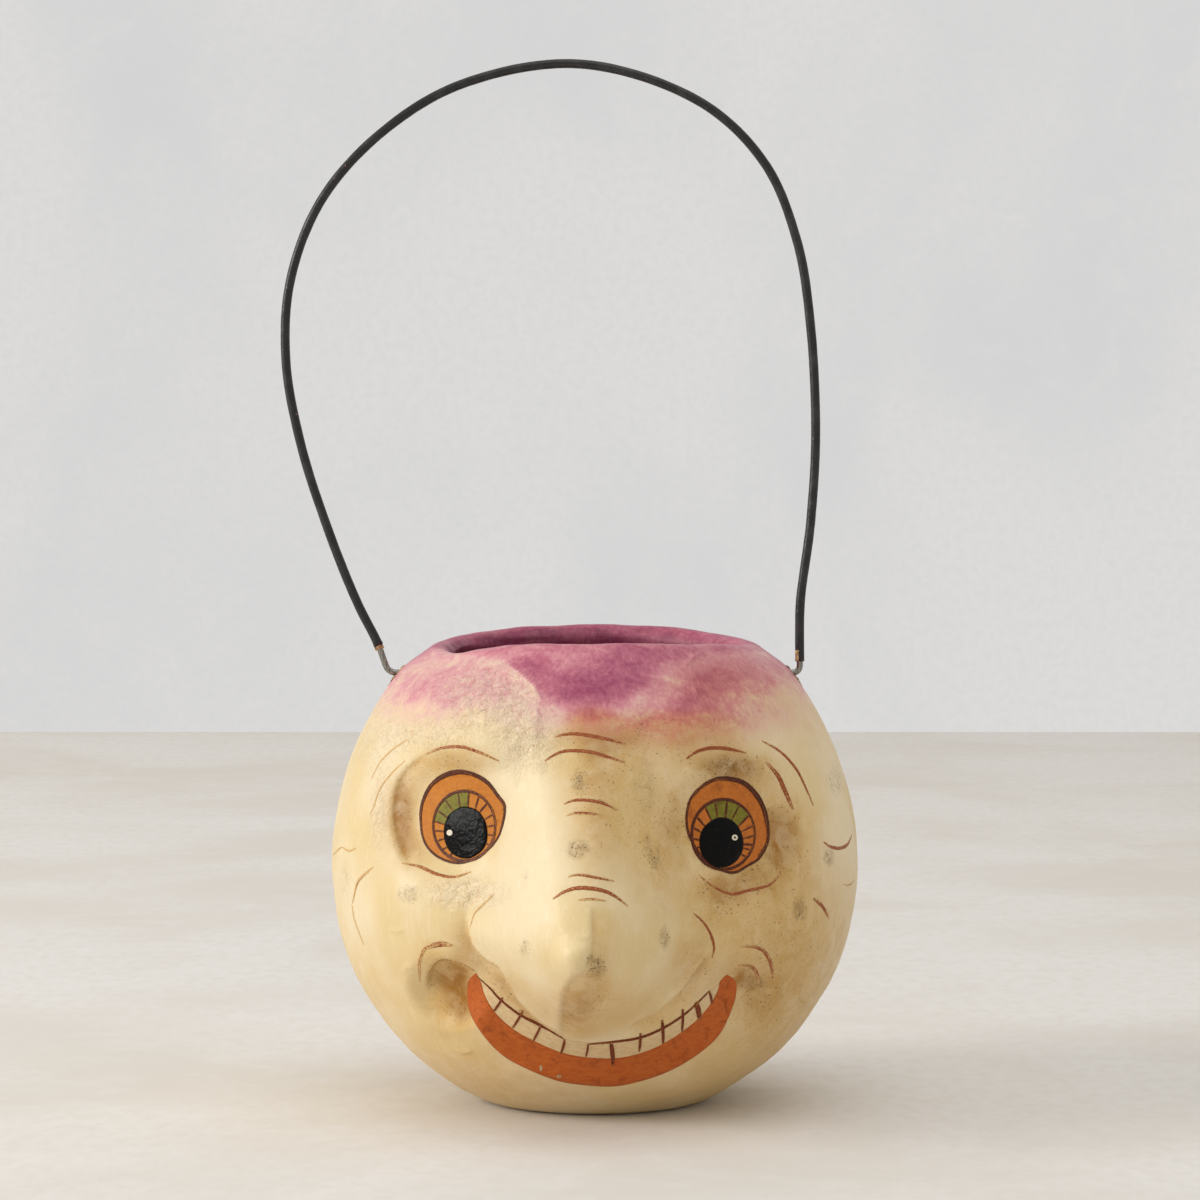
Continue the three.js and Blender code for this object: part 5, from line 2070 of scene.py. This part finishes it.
@dataclass
class HoleFrills:
    """Torn paper round the two holes of the bail."""

    painter: Painter
    pivot_height: float
    hole_radius: float
    reach: float = 3.0
    play: float = 0.1
    columns: int = 30
    rows: int = 5
    hang: float = 1.7
    jagged: float = 0.35
    edge_curl: float = 0.12
    curl: float = 0.45
    swept_reach: float = 0.45
    swept_curl: float = 0.7
    first_seed: int = 300

    def build(self) -> None:
        """Builds the torn collars, flatter in front and behind, where the bail sweeps over them."""
        mesh = Mesh()
        for side in Side:
            rng = random.Random(self.first_seed + side.value)
            top, under = [], []
            for t in np.arange(self.rows) / (self.rows - 1):
                line, base = [], []
                for turn in np.arange(self.columns) * (2 * math.pi / self.columns):
                    swept = math.cos(turn) ** 4
                    low = (1.0 + self.hang * max(0.0, -math.sin(turn))) * (1.0 - self.swept_reach * swept)
                    jag = rng.uniform(-self.jagged, self.jagged) * t
                    wide = t * (self.reach - self.hole_radius) * (0.4 + jag) * low
                    radius = self.hole_radius + self.play + wide
                    z = self.pivot_height + radius * math.sin(turn)
                    place, normal = self.painter.beside(side, radius * math.cos(turn), z)
                    arc = math.sin(math.pi * min(1.0, t + 0.1)) * rng.uniform(0.5, 1.0)
                    curl = (self.edge_curl + self.curl * arc) * (1.0 - self.swept_curl * swept)
                    line.append(place + normal * curl)
                    base.append(place - normal * 0.1 + normal * max(0.0, curl - 0.35) * 0.6)
                top.append(line)
                under.append(base)
            grid = np.vstack([np.array(top), np.array(under)[::-1]])
            mesh.add_ring(grid[:, ::side.value], loop=True)
        mesh.make("hole_frills", TornPaper("frill_paper", "#DDBE93", "#8A6440").make())


@dataclass(frozen=True)
class Lamp:
    """Soft square lamp: its name, its place and aim in metres, its power, size and colour."""

    name: str
    place: Triple
    aim: Triple
    power: float
    size: float
    colour: Triple

    def make(self) -> None:
        """Makes the lamp."""
        data = bpy.data.lights.new(self.name, "AREA")
        data.energy, data.size, data.color = self.power, self.size, self.colour
        lamp = bpy.data.objects.new(self.name, data)
        lamp.location = self.place
        lamp.rotation_euler = (Vector(self.aim) - Vector(self.place)).to_track_quat("-Z", "Y").to_euler()
        bpy.context.collection.objects.link(lamp)


@dataclass(frozen=True)
class Studio:
    """Plain pale floor and plaster wall, soft light from the left and an even surround."""

    wall_y: float = 1.43
    half_width: float = 3.0
    front_y: float = -2.6
    wall_height: float = 3.0
    surround: float = 0.575
    sky: tuple[float, float, float, float] = (1.0, 0.98, 0.95, 1.0)
    floor: tuple[str, str] = ("#EBE8E4", "#E1DCD4")
    wall: tuple[str, str] = ("#DCDBDA", "#D5D4D4")
    lamps: tuple[Lamp, ...] = (
        Lamp("key", (-2.3, -0.58, 0.98), (0, 0, 0.12), 34.5, 1.3, (1.0, 0.985, 0.97)),
        Lamp("top", (0.2, -0.5, 2.4), (0, 0.1, 0), 14.5, 2.2, (1.0, 0.995, 0.98)),
    )

    def plaster(self, name: str, light: str, dark: str, glow: bool) -> Material:
        """Plain plaster.

        Args:
            name: The material's name.
            light: Its colour.
            dark: Colour of its faint clouds.
            glow: Whether the camera sees its colour whatever the light.

        Returns:
            The material.
        """
        r = Recipe(name, {"Roughness": 0.9, "Specular IOR Level": 0.2})
        clouds = r.between(r.clouds(190, 5, (1, 1, 0.7), 0.6), 0.35, 0.7)
        fine = r.between(r.clouds(26, 5, warp=0.8), 0.45, 0.75, 0, 0.5)
        grains = r.between(r.clouds(5, 6, (1, 0.5, 1), 0.5), 0.35, 0.75, 0, 0.55)
        colour = r.mix(clouds, light, dark)
        colour = r.mix(fine, colour, light)
        colour = r.mix(grains, colour, dark)
        material = r.finish(colour)
        if glow:
            path = r.node("LightPath")
            seen = r.sum("MAXIMUM", path.outputs["Is Camera Ray"], path.outputs["Is Glossy Ray"])
            seen = r.sum("MAXIMUM", seen, path.outputs["Is Transmission Ray"])
            lit = r.node("Emission")
            r.join(colour, lit.inputs["Color"])
            mixed = r.node("MixShader")
            r.join(seen, mixed.inputs[0])
            r.join(r.shader.outputs[0], mixed.inputs[1])
            r.join(lit.outputs[0], mixed.inputs[2])
            r.join(mixed.outputs[0], r.tree.nodes["Material Output"].inputs["Surface"])
        return material

    def plane(self, name: str, corners: Sequence[Sequence[float]], material: Material) -> None:
        """Makes one flat piece of the stage."""
        data = bpy.data.meshes.new(name)
        data.from_pydata([tuple(corner) for corner in corners], [], [(0, 1, 2, 3)])
        data.materials.append(material)
        piece = bpy.data.objects.new(name, data)
        bpy.context.collection.objects.link(piece)

    def build(self) -> None:
        """Builds the stage, the lamps and the surround."""
        wide, wall, front, high = self.half_width, self.wall_y, self.front_y, self.wall_height
        floor = self.plaster("pale_floor", *self.floor, False)
        backdrop = self.plaster("pale_plaster", *self.wall, True)
        self.plane("floor", ((-wide, front, 0), (wide, front, 0), (wide, wall, 0), (-wide, wall, 0)), floor)
        corners = ((-wide, wall, 0), (wide, wall, 0), (wide, wall, high), (-wide, wall, high))
        self.plane("backdrop", corners, backdrop)
        for lamp in self.lamps:
            lamp.make()
        scene = bpy.context.scene
        scene.world = bpy.data.worlds.new("surround")
        scene.world.use_nodes = True
        sky = scene.world.node_tree.nodes["Background"]
        sky.inputs["Color"].default_value = self.sky
        sky.inputs["Strength"].default_value = self.surround
        scene.view_settings.view_transform = "Standard"


def main() -> None:
    """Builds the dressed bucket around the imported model."""
    logging.basicConfig(level=logging.INFO, format="%(name)s: %(message)s")
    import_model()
    view = Viewpoint()
    form = TurnipForm()
    surface = TurnipSurface(form, view, FaceMap())
    paint = TurnipPaint().make()
    shell = TurnipShell(surface).build(paint)
    FoldedRim(surface).build(paint)
    SeamStrip(form).build(KraftStrip().make())
    painter = Painter(view, shell)
    Eyes(painter).build()
    Smile(painter).build()
    BrushMarks(painter).build()
    Bail(form.pivot_height).build()
    HoleFrills(painter, form.pivot_height, form.hole_radius).build()
    Studio().build()
    view.make_camera()


if __name__ == "__main__":
    main()
